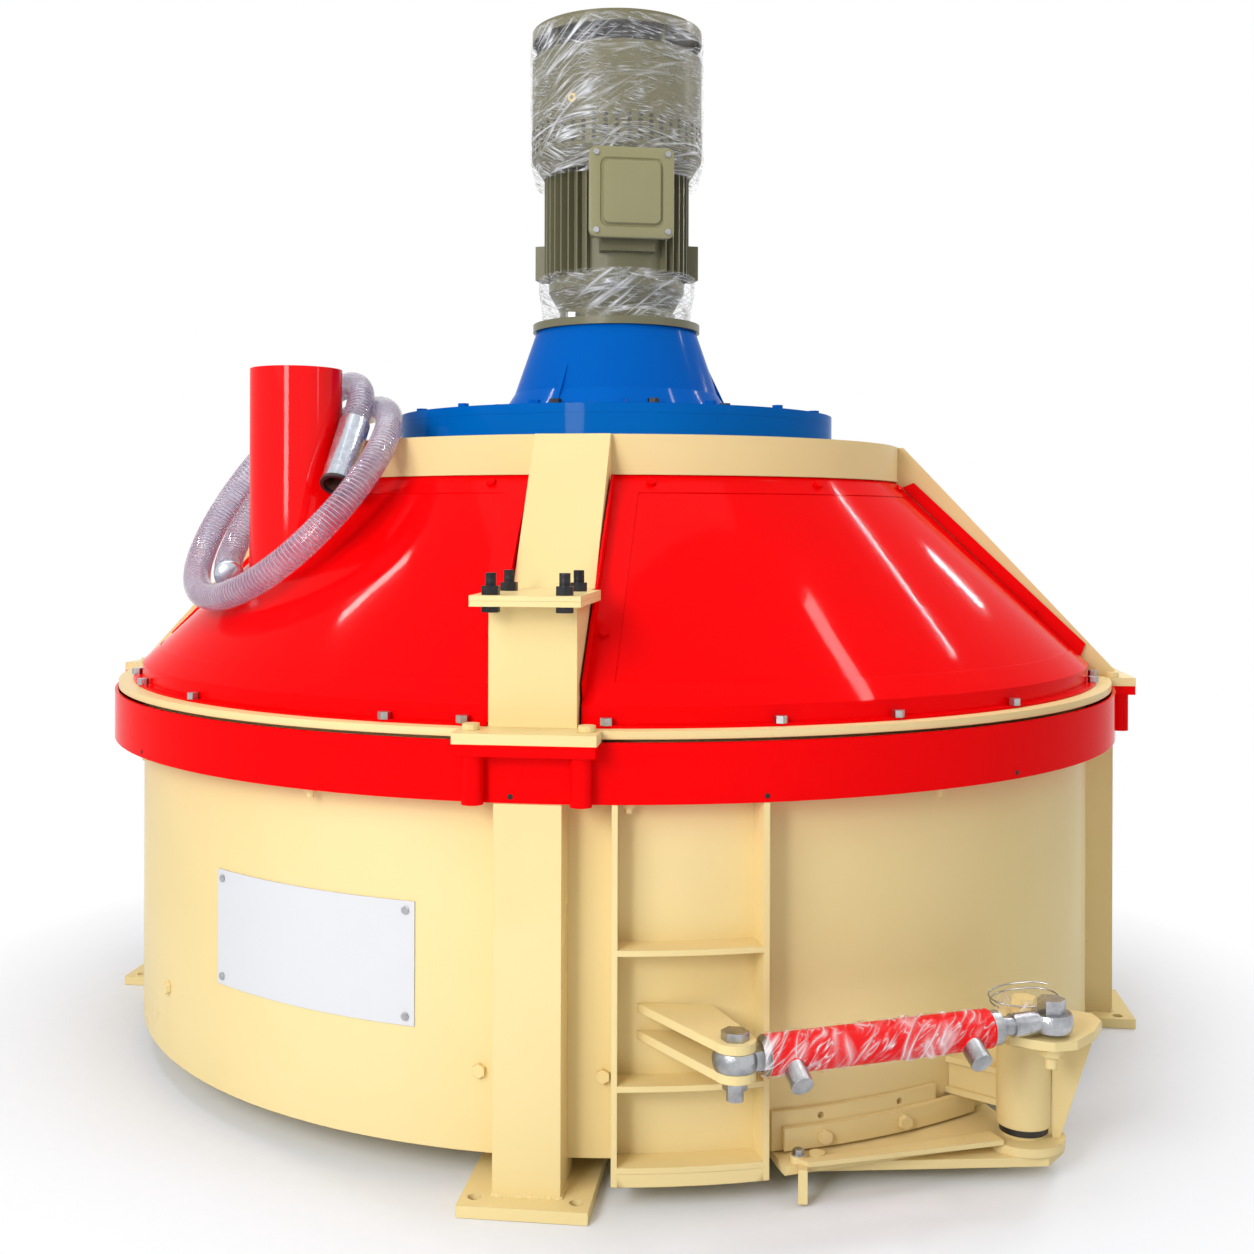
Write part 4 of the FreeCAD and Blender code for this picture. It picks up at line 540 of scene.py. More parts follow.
def skin_of_rings(name, rings, closed=True, capped=False):
    """A mesh of rings of points, each joined to the next."""
    count = len(rings[0])
    points = [point for ring in rings for point in ring]
    faces = []
    for row in range(len(rings) - 1):
        for column in range(count if closed else count - 1):
            after = (column + 1) % count
            faces.append((row * count + column, row * count + after,
                          (row + 1) * count + after, (row + 1) * count + column))
    if capped:
        faces.append(tuple(range(count)))
        faces.append(tuple((len(rings) - 1) * count + column for column in range(count)))
    mesh = bpy.data.meshes.new(name)
    mesh.from_pydata([tuple(point) for point in points], [], faces)
    mesh.update()
    return mesh


def turned_rings(profile, matrix=None, steps=48):
    """Rings for a turned piece: (radius, height) pairs about Z, carried by a matrix."""
    matrix = matrix or Matrix()
    rings = []
    for radius, height in profile:
        ring = []
        for step in range(steps):
            angle = 2 * math.pi * step / steps
            ring.append(matrix @ Vector((radius * math.cos(angle), radius * math.sin(angle), height)))
        rings.append(ring)
    return rings


def frame_along(start, direction):
    """A matrix whose Z axis points along a direction from a start point."""
    return Matrix.Translation(Vector(start)) @ Vector(direction).to_track_quat("Z", "Y").to_matrix().to_4x4()


print("mesh helpers ready")

# %% [markdown]
# ## Hose: the route
#
# A clear suction hose hangs in nearly two turns round the inlet tube. It is 50 mm thick and stiff, so its
# bends are wide. Its line is one smooth NURBS spline through the same route as the CAD hose: it rises out
# of its mouth, goes once and a half round the tube on a tilted coil, and ends on the slope of the cone.

# %% Hose route
HOSE_RADIUS = 0.025
COIL_CENTRE = Vector((-0.548, -0.450, 1.0285))
COIL_LEAN = math.radians(51.7)
COIL_FACING = math.radians(40.9)
uphill = Vector((math.cos(COIL_LEAN) * math.cos(COIL_FACING), math.cos(COIL_LEAN) * math.sin(COIL_FACING),
                 math.sin(COIL_LEAN)))
sideways = Vector((math.sin(COIL_FACING), -math.cos(COIL_FACING), 0))
across = Vector((math.sin(COIL_LEAN) * math.cos(COIL_FACING), math.sin(COIL_LEAN) * math.sin(COIL_FACING),
                 -math.cos(COIL_LEAN)))
route = [(-0.424, -0.465, 1.169), (-0.422, -0.4295, 1.2135), (-0.439, -0.383, 1.2425),
         (-0.475, -0.333, 1.2545), (-0.528, -0.288, 1.2405), (-0.597, -0.263, 1.195)]
for step in range(12):
    turn = 0.2528 + step * 25 / 360
    angle = math.radians(22.5 - 360 * turn)
    radius = 0.234 + 0.009 * turn
    route.append(COIL_CENTRE + (uphill * math.cos(angle) + sideways * math.sin(angle)) * radius
                 + across * (turn - 0.75) * 0.073)
route += [(-0.441, -0.303, 1.208), (-0.524, -0.252, 1.184), (-0.598, -0.250, 1.126),
          (-0.649, -0.288, 1.058), (-0.677, -0.338, 0.994), (-0.684, -0.388, 0.941),
          (-0.679, -0.436, 0.905), (-0.659, -0.479, 0.895)]

hose_line = bpy.data.curves.new("hose_line", "CURVE")
hose_line.dimensions = "3D"
hose_line.resolution_u = 24
spline = hose_line.splines.new("NURBS")
spline.points.add(len(route) - 1)
for control, place in zip(spline.points, route):
    control.co = (*place, 1)
spline.order_u = 3
spline.use_endpoint_u = True
line_object = bpy.data.objects.new("hose_line", hose_line)
scene.collection.objects.link(line_object)
bpy.context.view_layer.update()
line_mesh = bpy.data.meshes.new_from_object(line_object.evaluated_get(bpy.context.evaluated_depsgraph_get()))
hose_path = [vertex.co.copy() for vertex in line_mesh.vertices]
bpy.data.objects.remove(line_object)

# %% [markdown]
# ## Hose: the clear wall and its wire
#
# The wall is clear vinyl with a steel wire wound inside it. The wall is a tube mesh that follows the
# line, with a frame carried along so that it doesn't twist. The wire is a spiral on the same line, which
# is just what Geometry Nodes are good at: resample the line, push each point out to the side, turn that
# side a little further at each point, and give the result a round profile.

# %% Vinyl and wire materials


def vinyl_material():
    """Clear vinyl: see-through where it is looked at squarely, and a grey violet towards its sides."""
    material = bpy.data.materials.new("clear_vinyl")
    material.use_nodes = True
    tree = material.node_tree
    surface = tree.nodes["Principled BSDF"]
    surface.inputs["Roughness"].default_value = 0.06
    surface.inputs["IOR"].default_value = 1.42
    surface.inputs["Transmission Weight"].default_value = 0.75
    place = put_node(tree, "ShaderNodeTexCoord")
    haze = put_node(tree, "ShaderNodeTexNoise", {"Scale": 12, "Detail": 3})
    tree.links.new(place.outputs["Object"], haze.inputs["Vector"])
    tint = put_node(tree, "ShaderNodeValToRGB")
    tint.color_ramp.elements[0].position = 0.38
    tint.color_ramp.elements[0].color = linear(176, 162, 192)
    tint.color_ramp.elements[1].position = 0.66
    tint.color_ramp.elements[1].color = linear(224, 218, 232)
    tree.links.new(haze.outputs["Fac"], tint.inputs["Fac"])
    tree.links.new(tint.outputs["Color"], surface.inputs["Base Color"])
    facing = put_node(tree, "ShaderNodeLayerWeight", {"Blend": 0.35})
    sides = ranged(tree, facing.outputs["Facing"], 0.05, 0.75, 0.40, 0.75)
    tree.links.new(calculated(tree, "ADD", sides, ranged(tree, haze.outputs["Fac"], 0.35, 0.7, -0.05, 0.10)),
                   surface.inputs["Alpha"])
    wave = put_node(tree, "ShaderNodeBump", {"Distance": 0.002, "Strength": 0.6})
    tree.links.new(haze.outputs["Fac"], wave.inputs["Height"])
    tree.links.new(wave.outputs["Normal"], surface.inputs["Normal"])
    return material


clear_vinyl = vinyl_material()
hose_wire_steel = metal("hose_wire_steel", (240, 238, 244), (196, 190, 206), 0.28, metallic=0.1)

# %% Hose wall


def carried_frames(path):
    """A side vector for each point of a path, turned as little as possible from point to point."""
    tangents = []
    for index in range(len(path)):
        before = path[max(index - 1, 0)]
        after = path[min(index + 1, len(path) - 1)]
        tangents.append((after - before).normalized())
    side = tangents[0].orthogonal().normalized()
    frames = []
    for tangent in tangents:
        side = (side - tangent * side.dot(tangent)).normalized()
        frames.append((tangent, side, tangent.cross(side)))
    return frames


hose_frames = carried_frames(hose_path)
wall_rings = []
for inside in (False, True):
    radius = HOSE_RADIUS - (0.0035 if inside else 0)
    order = range(len(hose_path))
    for index in (reversed(order) if inside else order):
        tangent, side, other = hose_frames[index]
        ring = []
        for step in range(24):
            angle = 2 * math.pi * step / 24
            ring.append(hose_path[index] + (side * math.cos(angle) + other * math.sin(angle)) * radius)
        wall_rings.append(ring)
wall_rings.append(wall_rings[0])
hose_wall = piece("hose_wall", skin_of_rings("hose_wall", wall_rings), clear_vinyl, "mixer", 60)

# %% Geometry node helpers


def geometry_tree(name, inputs):
    """A Geometry Nodes tree with named inputs, and its input and output nodes."""
    tree = bpy.data.node_groups.new(name, "GeometryNodeTree")
    tree.interface.new_socket("Geometry", in_out="INPUT", socket_type="NodeSocketGeometry")
    kinds = {float: "NodeSocketFloat", int: "NodeSocketInt"}
    for label, default in inputs.items():
        socket = tree.interface.new_socket(label, in_out="INPUT", socket_type=kinds[type(default)])
        socket.default_value = default
    tree.interface.new_socket("Material", in_out="INPUT", socket_type="NodeSocketMaterial")
    tree.interface.new_socket("Geometry", in_out="OUTPUT", socket_type="NodeSocketGeometry")
    return tree, tree.nodes.new("NodeGroupInput"), tree.nodes.new("NodeGroupOutput")


def finish_tree(tree, given, out, geometry):
    """Ends a tree: real geometry, with its material."""
    real = tree.nodes.new("GeometryNodeRealizeInstances")
    coat = tree.nodes.new("GeometryNodeSetMaterial")
    tree.links.new(geometry, real.inputs["Geometry"])
    tree.links.new(real.outputs["Geometry"], coat.inputs["Geometry"])
    tree.links.new(given.outputs["Material"], coat.inputs["Material"])
    tree.links.new(coat.outputs["Geometry"], out.inputs["Geometry"])
    return tree


def grown(name, source, tree, values, material, body, smooth_angle=35):
    """Runs a tree on a source mesh and keeps the result as a plain mesh."""
    holder = bpy.data.objects.new(name + "_source", source)
    scene.collection.objects.link(holder)
    modifier = holder.modifiers.new("grow", "NODES")
    modifier.node_group = tree
    for item in tree.interface.items_tree:
        if item.in_out == "INPUT" and item.name in values:
            modifier[item.identifier] = values[item.name]
        if item.in_out == "INPUT" and item.name == "Material":
            modifier[item.identifier] = material
    bpy.context.view_layer.update()
    ready = holder.evaluated_get(bpy.context.evaluated_depsgraph_get())
    mesh = bpy.data.meshes.new_from_object(ready)
    holder.modifiers.remove(modifier)
    bpy.data.objects.remove(holder)
    return piece(name, mesh, material, body, smooth_angle)


def line_source(name, lines):
    """A mesh of bare edges along one or more lines of points."""
    points = []
    edges = []
    for line in lines:
        first = len(points)
        points += [tuple(point) for point in line]
        edges += [(first + index, first + index + 1) for index in range(len(line) - 1)]
    mesh = bpy.data.meshes.new(name)
    mesh.from_pydata(points, edges, [])
    return mesh


print("geometry node helpers ready")

# %% Wound wire


def wound_wire_tree():
    tree, given, out = geometry_tree("Wound wire", {
        "Pitch": 0.006, "Coil Radius": 0.0235, "Wire Radius": 0.001})
    links = tree.links
    line = tree.nodes.new("GeometryNodeMeshToCurve")
    links.new(given.outputs["Geometry"], line.inputs["Mesh"])
    even = tree.nodes.new("GeometryNodeResampleCurve")
    even.mode = "LENGTH"
    links.new(line.outputs["Curve"], even.inputs["Curve"])
    links.new(calculated(tree, "DIVIDE", given.outputs["Pitch"], 12.0), even.inputs["Length"])
    index = tree.nodes.new("GeometryNodeInputIndex")
    angle = calculated(tree, "MULTIPLY", index.outputs["Index"], 2 * math.pi / 12)
    side = put_node(tree, "ShaderNodeVectorRotate", rotation_type="AXIS_ANGLE")
    links.new(tree.nodes.new("GeometryNodeInputNormal").outputs["Normal"], side.inputs["Vector"])
    links.new(tree.nodes.new("GeometryNodeInputTangent").outputs["Tangent"], side.inputs["Axis"])
    links.new(angle, side.inputs["Angle"])
    out_there = put_node(tree, "ShaderNodeVectorMath", operation="SCALE")
    links.new(side.outputs["Vector"], out_there.inputs[0])
    links.new(given.outputs["Coil Radius"], out_there.inputs["Scale"])
    moved = tree.nodes.new("GeometryNodeSetPosition")
    links.new(even.outputs["Curve"], moved.inputs["Geometry"])
    links.new(out_there.outputs["Vector"], moved.inputs["Offset"])
    round_wire = put_node(tree, "GeometryNodeCurvePrimitiveCircle", {"Resolution": 4})
    links.new(given.outputs["Wire Radius"], round_wire.inputs["Radius"])
    wire = tree.nodes.new("GeometryNodeCurveToMesh")
    links.new(moved.outputs["Geometry"], wire.inputs["Curve"])
    links.new(round_wire.outputs["Curve"], wire.inputs["Profile Curve"])
    return finish_tree(tree, given, out, wire.outputs["Mesh"])


WOUND_WIRE = wound_wire_tree()
hose_wire = grown("hose_wire", line_source("hose_wire_line", [hose_path]), WOUND_WIRE,
                  {"Pitch": 0.0075, "Coil Radius": 0.0233, "Wire Radius": 0.0008}, hose_wire_steel, "mixer")

# %% [markdown]
# ## Hose: its sleeves
#
# Each end of the hose is wrapped in film round a short sleeve. A sleeve is turned in line with the first
# or last run of the hose. A little noise on its rings makes the film look wound on by hand.

# %% Film materials


def film_material(name, tint, clear, white, scale, stretch, sharpness, bump, amounts=(), turn=0.0):
    """Stretch film: clear where it is tight, white along its creases, with more creases at some heights."""
    material = bpy.data.materials.new(name)
    material.use_nodes = True
    tree = material.node_tree
    surface = tree.nodes["Principled BSDF"]
    surface.inputs["Base Color"].default_value = linear(*tint)
    surface.inputs["Specular IOR Level"].default_value = 0.35
    creases = tree.nodes.new("ShaderNodeGroup")
    creases.node_tree = CREASES
    creases.inputs["Scale"].default_value = scale
    creases.inputs["Stretch"].default_value = stretch
    creases.inputs["Sharpness"].default_value = sharpness
    creases.inputs["Turn"].default_value = turn
    shown = creases.outputs["Creases"]
    if amounts:
        place = put_node(tree, "ShaderNodeTexCoord")
        parts = put_node(tree, "ShaderNodeSeparateXYZ")
        tree.links.new(place.outputs["Object"], parts.inputs["Vector"])
        low, high = amounts[0][0], amounts[-1][0]
        ramp = put_node(tree, "ShaderNodeValToRGB")
        tree.links.new(ranged(tree, parts.outputs["Z"], low, high, 0, 1), ramp.inputs["Fac"])
        for index, (height, share) in enumerate(amounts):
            place_along = (height - low) / (high - low)
            stop = (ramp.color_ramp.elements[0] if index == 0 else
                    ramp.color_ramp.elements[-1] if index == len(amounts) - 1 else
                    ramp.color_ramp.elements.new(place_along))
            stop.position = place_along
            stop.color = (share, share, share, 1)
        shown = calculated(tree, "MULTIPLY", shown, ramp.outputs["Color"])
        haze = calculated(tree, "MULTIPLY", ramp.outputs["Color"], 0.04)
        shown = calculated(tree, "MAXIMUM", shown, haze)
    tree.links.new(ranged(tree, shown, 0, 1, clear, white), surface.inputs["Alpha"])
    tree.links.new(ranged(tree, shown, 0, 1, 0.10, 0.34), surface.inputs["Roughness"])
    relief = put_node(tree, "ShaderNodeBump", {"Distance": bump, "Strength": 1.0})
    tree.links.new(creases.outputs["Height"], relief.inputs["Height"])
    tree.links.new(relief.outputs["Normal"], surface.inputs["Normal"])
    return material


motor_film = film_material("motor_film", (244, 246, 250), 0.01, 0.92, 5.0, 16.0, 9.0, 0.002,
                           ((1.40, 1.0), (1.50, 0.8), (1.69, 0.9), (1.80, 1.0), (1.83, 0.72), (1.90, 0.62),
                            (1.94, 0.85), (1.98, 1.0), (2.01, 0.45)))
barrel_film = film_material("barrel_film", (250, 240, 242), 0.02, 0.95, 5.6, 6.0, 15.0, 0.0012, turn=0.95)
sleeve_film = film_material("sleeve_film", (200, 206, 216), 0.86, 1.0, 34.0, 0.22, 2.0, 0.00003)
sleeve_film.node_tree.nodes["Principled BSDF"].inputs["Metallic"].default_value = 0.85
sleeve_inside = metal("sleeve_inside", (132, 92, 74), (30, 24, 24), 0.45, metallic=0.1)
# A near-black colour for the ring at the sleeve's mouth and the ring set back in the gap under the hinge tube.
near_black_ring = enamel("near_black_ring", (40, 38, 40), (28, 27, 29), 0.1, 0.4, edge=0.0006)

# %% Sleeves


def sleeve(name, end, inside, length, outer=0.0293, inner=0.0243):
    """A film wrapped sleeve in line with the end of the hose."""
    direction = (Vector(end) - Vector(inside)).normalized()
    matrix = frame_along(end, direction)
    profile = [(inner, 0.0005), (outer - 0.002, 0.0005)]
    steps = max(6, int(length / 0.006))
    for step in range(steps + 1):
        along = length * step / steps
        wrap = 0.00025 * noise.noise(Vector((along * 90, 3.1, length * 40)))
        profile.append((outer - 0.0011 + wrap, min(max(along, 0.001), length - 0.001)))
    profile += [(outer - 0.001, length - 0.0005), (inner, length - 0.0005)]
    rings = turned_rings(profile, matrix, 40)
    for row, ring in enumerate(rings[2:-2]):
        for column, point in enumerate(ring):
            centre = matrix @ Vector((0, 0, profile[row + 2][1]))
            away = point - centre
            lump = 0.004 * noise.noise(Vector((column * 0.55, row * 0.3, 7.7)))
            ring[column] = centre + away * (1 + min(lump, 0.012))
    rings.append(rings[0])
    outside = skin_of_rings(name, rings)
    return piece(name, outside, sleeve_film, "mixer", 50)


mouth_sleeve = sleeve("mouth_sleeve", route[0], route[1], 0.150)
mouth_frame = frame_along(route[0], Vector(route[0]) - Vector(route[1]))
mouth_lining = piece("mouth_lining", skin_of_rings("mouth_lining", turned_rings(
    [(0.0242, 0.001), (0.0242, 0.143), (0.0226, 0.143), (0.0226, 0.001), (0.0242, 0.001)], mouth_frame, 40)),
    sleeve_inside, "mixer")
mouth_rim = piece("mouth_rim", skin_of_rings("mouth_rim", turned_rings(
    [(0.0228, 0.1432), (0.0290, 0.1432), (0.0295, 0.1446), (0.0295, 0.1486), (0.0290, 0.1499), (0.0228, 0.1499),
     (0.0228, 0.1432)], mouth_frame, 40)), near_black_ring, "mixer", 50)
tail_frame = frame_along(route[-1], Vector(route[-1]) - Vector(route[-2]))
tail_profile = [(0.002, 0.0005), (0.0255, 0.0005), (0.0268, 0.004), (0.0268, 0.020), (0.0262, 0.024),
                (0.0235, 0.028), (0.018, 0.031), (0.010, 0.0325), (0.002, 0.033)]
tail_plug = piece("tail_plug", skin_of_rings("tail_plug", turned_rings(tail_profile, tail_frame, 40),
                                             capped=True), sleeve_film, "mixer", 50)

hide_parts("water_hose")
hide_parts("hose_cuffs")
print("hose done")

# %% [markdown]
# ## Terminal box lid
#
# The lid is a casting with round corners and a raised field. Its outline is a rounded rectangle that is
# drawn again and again, a little smaller and a little further out each time, so that one skin makes the
# edge, the rim and the field.

# %% Terminal lid
FACING = math.radians(16 - 90)


def rounded_outline(half_width, half_height, corner, steps=7):
    """Points of a rounded rectangle round the origin, as (across, up) pairs."""
    points = []
    for number, (side, up) in enumerate(((1, 1), (-1, 1), (-1, -1), (1, -1))):
        for step in range(steps + 1):
            angle = math.radians(90 * number + 90 * step / steps)
            points.append((side * (half_width - corner) + corner * math.cos(angle),
                           up * (half_height - corner) + corner * math.sin(angle)))
    return points


def raised_plate(name, middle, profile, width, height, material, body):
    """A plate that faces out from the mixer's axis: (inset, distance out, corner) for each ring."""
    out = Vector((math.cos(FACING), math.sin(FACING), 0))
    across = Vector((-out.y, out.x, 0))
    rings = []
    for inset, reach, corner in profile:
        rings.append([out * reach + across * x + Vector((0, 0, middle + z))
                      for x, z in rounded_outline(width / 2 - inset, height / 2 - inset, corner)])
    return piece(name, skin_of_rings(name, rings, capped=True), material, body, 40)


box_low, box_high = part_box("terminal_lid")
lid_middle = (box_low[2] + box_high[2]) / 2
terminal_cast_lid = raised_plate(
    "terminal_cast_lid", lid_middle,
    [(0.001, 0.1872, 0.014), (0.0, 0.1882, 0.015), (0.0, 0.1968, 0.015), (0.0008, 0.1982, 0.0142),
     (0.0022, 0.1989, 0.0128), (0.0215, 0.1990, 0.0140), (0.0238, 0.1962, 0.0135), (0.0258, 0.1962, 0.0130),
     (0.0276, 0.2030, 0.0125),
     (0.0284, 0.2045, 0.0115), (0.0305, 0.2049, 0.0105), (0.060, 0.2049, 0.0060)],
    0.170, 0.180, lid_enamel, "mixer")
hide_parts("terminal_lid")

# %% [markdown]
# ## Repeats round the axis
#
# Vent slots and screw holes all sit on circles round the mixer's axis. One Geometry Nodes tree puts any
# small piece on such a circle, in as many rows as are wanted: the index of each point gives its column
# and its row, and those give its angle and its height.

# %% Ring of pieces


def ring_tree():
    tree, given, out = geometry_tree("Ring of pieces", {
        "Columns": 36, "Rows": 1, "Radius": 1.0, "Base": 0.0, "Rise": 0.01, "First Angle": 0.0,
        "Sweep": 360.0})
    links = tree.links
    total = calculated(tree, "MULTIPLY", given.outputs["Columns"], given.outputs["Rows"])
    line = tree.nodes.new("GeometryNodePoints")
    links.new(total, line.inputs["Count"])
    index = tree.nodes.new("GeometryNodeInputIndex").outputs["Index"]
    row = calculated(tree, "FLOOR", calculated(tree, "DIVIDE", index, given.outputs["Columns"]))
    column = calculated(tree, "SUBTRACT", index, calculated(tree, "MULTIPLY", row, given.outputs["Columns"]))
    share = calculated(tree, "DIVIDE", column, given.outputs["Columns"])
    degrees = calculated(tree, "ADD", given.outputs["First Angle"],
                         calculated(tree, "MULTIPLY", share, given.outputs["Sweep"]))
    angle = calculated(tree, "MULTIPLY", degrees, math.pi / 180)
    place = tree.nodes.new("ShaderNodeCombineXYZ")
    links.new(calculated(tree, "MULTIPLY", given.outputs["Radius"], calculated(tree, "COSINE", angle)),
              place.inputs["X"])
    links.new(calculated(tree, "MULTIPLY", given.outputs["Radius"], calculated(tree, "SINE", angle)),
              place.inputs["Y"])
    links.new(calculated(tree, "ADD", given.outputs["Base"],
                         calculated(tree, "MULTIPLY", row, given.outputs["Rise"])), place.inputs["Z"])
    moved = tree.nodes.new("GeometryNodeSetPosition")
    links.new(line.outputs["Points"], moved.inputs["Geometry"])
    links.new(place.outputs["Vector"], moved.inputs["Position"])
    spin = tree.nodes.new("ShaderNodeCombineXYZ")
    links.new(angle, spin.inputs["Z"])
    copies = tree.nodes.new("GeometryNodeInstanceOnPoints")
    links.new(moved.outputs["Geometry"], copies.inputs["Points"])
    links.new(given.outputs["Geometry"], copies.inputs["Instance"])
    links.new(spin.outputs["Vector"], copies.inputs["Rotation"])
    return finish_tree(tree, given, out, copies.outputs["Instances"])


def slot_mesh(name, half_width, half_height, corner, thickness):
    """A small rounded pad that faces along X."""
    rings = []
    for inset, reach in ((0.0, -thickness), (0.0, thickness * 0.5), (0.0006, thickness)):
        rings.append([Vector((reach, x, z)) for x, z in rounded_outline(
            half_width - inset, half_height - inset, max(corner - inset, 0.0004), 3)])
    return skin_of_rings(name, rings, capped=True)


RING = ring_tree()
# The vent slots are flat pads, not openings: their dark colour is painted shade, the dark inside an open slot.
vent_slots = grown("vent_slots", slot_mesh("vent_slot", 0.0048, 0.0036, 0.0034, 0.0006), RING,
                   {"Columns": 48, "Rows": 5, "Radius": 0.1780, "Base": 1.757, "Rise": 0.0115}, vent_shade, "mixer")
# The band's holes are flat dark pads too, painted with the shade seen inside a hole.
for number, angle in enumerate((-47.1, -1.5, 20.0, 47.0, 132.9, 178.5, 200.0, 227.0)):
    grown(f"band_hole_{number}", slot_mesh("band_hole", 0.0042, 0.0042, 0.0041, 0.0005), RING,
          {"Columns": 1, "Rows": 1, "Radius": 1.0, "Base": 0.5925, "First Angle": angle - 90.0}, painted_hole_shade, "mixer")
grommet_place = Matrix.Rotation(math.radians(-22.7 - 90), 4, "Z") @ Matrix.Translation((0.178, 0, 1.8405)) \
    @ Matrix.Rotation(math.radians(90), 4, "Y")
grommet_ring = piece("grommet_ring", skin_of_rings("grommet_ring", turned_rings(
    [(0.0040, -0.001), (0.0090, -0.001), (0.0090, 0.0032), (0.0080, 0.0048), (0.0052, 0.0048), (0.0040, 0.0036),
     (0.0040, -0.001)], grommet_place, 28)), yellow_ring, "mixer", 60)
# The grommet's hole is a dark disc, painted shade in place of an opening.
grommet_hole = piece("grommet_hole", skin_of_rings("grommet_hole", turned_rings(
    [(0.0005, -0.001), (0.0041, -0.001), (0.0041, 0.0034), (0.0005, 0.0034)], grommet_place, 20), capped=True),
    painted_hole_shade, "mixer", 60)

# %% [markdown]
# ## Threads
#
# The black studs above the bolted joints show their threads. A thread is a wire wound on the stud, so the
# tree that wound the hose wire winds these as well.

# %% Stud threads
stud_lines = []
for leg_turn in (0, 180):
    for out, side in ((1.006, 0.054), (1.006, -0.054), (0.872, 0.054), (0.872, -0.054)):
        spot = Matrix.Rotation(math.radians(leg_turn), 4, "Z") @ Vector((side, -out, 0))
        stud_lines.append([(spot.x, spot.y, 0.898), (spot.x, spot.y, 0.9152)])
stud_threads = grown("stud_threads", line_source("stud_lines", stud_lines), WOUND_WIRE,
                     {"Pitch": 0.002, "Coil Radius": 0.0080, "Wire Radius": 0.0006}, black_oxide, "mixer")

# %% [markdown]
# ## Weld beads
#
# A weld is a row of small overlapping drops. The tree runs along a line, sets a drop at each step, turns
# it with the line and varies its size a little. The same tree welds legs to feet and posts to plates.

# %% Weld beads


def bead_tree():
    tree, given, out = geometry_tree("Weld beads", {"Step": 0.006, "Size": 0.004, "Seed": 3})
    links = tree.links
    line = tree.nodes.new("GeometryNodeMeshToCurve")
    links.new(given.outputs["Geometry"], line.inputs["Mesh"])
    even = tree.nodes.new("GeometryNodeCurveToPoints")
    even.mode = "LENGTH"
    links.new(line.outputs["Curve"], even.inputs["Curve"])
    links.new(given.outputs["Step"], even.inputs["Length"])
    drop = put_node(tree, "GeometryNodeMeshIcoSphere", {"Subdivisions": 2})
    links.new(given.outputs["Size"], drop.inputs["Radius"])
    vary = put_node(tree, "FunctionNodeRandomValue", data_type="FLOAT")
    vary.inputs[2].default_value = 0.82
    vary.inputs[3].default_value = 1.15
    links.new(given.outputs["Seed"], vary.inputs["Seed"])
    copies = tree.nodes.new("GeometryNodeInstanceOnPoints")
    links.new(even.outputs["Points"], copies.inputs["Points"])
    links.new(drop.outputs["Mesh"], copies.inputs["Instance"])
    links.new(even.outputs["Rotation"], copies.inputs["Rotation"])
    links.new(vary.outputs[1], copies.inputs["Scale"])
    return finish_tree(tree, given, out, copies.outputs["Instances"])


BEADS = bead_tree()
weld_lines = []
for quarter in range(4):
    turn = Matrix.Rotation(math.pi / 2 * quarter, 4, "Z")
    foot = [(-0.050, -0.948, 0.0185), (-0.050, -1.0045, 0.0185), (0.050, -1.0045, 0.0185), (0.050, -0.948, 0.0185)]
    weld_lines.append([turn @ Vector(point) for point in foot])
for half in range(2):
    turn = Matrix.Rotation(math.pi * half, 4, "Z")
    post_top = [(-0.066, -0.80, 0.8670), (-0.066, -0.9655, 0.8670), (0.066, -0.9655, 0.8670), (0.066, -0.80, 0.8670)]
    post_foot = [(-0.066, -0.90, 0.6850), (-0.066, -0.9655, 0.6850), (0.066, -0.9655, 0.6850), (0.066, -0.90, 0.6850)]
    weld_lines += [[turn @ Vector(point) for point in line] for line in (post_top, post_foot)]
weld_beads = grown("weld_beads", line_source("weld_lines", weld_lines), BEADS,
                   {"Step": 0.0045, "Size": 0.0036, "Seed": 5}, cream_enamel, "mixer", 80)

# %% [markdown]
# ## Stretch film on the motor
#
# The motor came wrapped in clear film, pulled tight round the fan cowl and canopy and bunched at the
# flange. A film has no thickness to speak of, so it is one open skin. Its rings follow the motor's
# outline, and two sizes of noise push them in and out into folds. The creases come from the material.

# %% Motor film


def film_skin(name, outline, steps, depth, seed, material, body, matrix=None):
    """A wrinkled skin round an axis: (radius, height) pairs with folds pressed in by noise."""
    rings = turned_rings(outline, None, steps)
    matrix = matrix or Matrix()
    for ring, (radius, height) in zip(rings, outline):
        for column, point in enumerate(ring):
            spot = Vector((point.x * 9, point.y * 9, point.z * 14 + seed))
            fold = noise.noise(spot) * 0.6 + 0.4 * noise.noise(spot * 3.1)
            fold += 0.5 * (0.5 - abs(noise.noise(spot * 1.7 + Vector((0, 0, 9)))))
            scale = (radius + depth * fold) / radius
            ring[column] = matrix @ Vector((point.x * scale, point.y * scale, point.z))
    return piece(name, skin_of_rings(name, rings), material, body, 80)


cowl_outline = []
for step in range(66):
    height = 1.694 + (2.006 - 1.694) * step / 65
    radius = 0.1815
    if height < 1.746:
        radius = 0.170 + (0.1815 - 0.170) * (height - 1.694) / 0.052
    cowl_outline.append((radius, height))
cowl_film = film_skin("cowl_film", cowl_outline, 180, 0.0032, 1.0, motor_film, "mixer")

neck_outline = []
for step in range(24):
    height = 1.404 + (1.500 - 1.404) * step / 23
    neck_outline.append((0.151 + 0.012 * math.sin(step / 23 * math.pi * 0.5), height))
neck_film = film_skin("neck_film", neck_outline, 150, 0.007, 4.0, motor_film, "mixer")

# %% [markdown]
# ## Stretch film on the hydraulic cylinder
#
# The red barrel was painted and then wrapped too. The same skin is carried onto the cylinder's own axis,
# which runs level from the rear pin to the lever pin. It rides on the cylinder, so that it swings along.

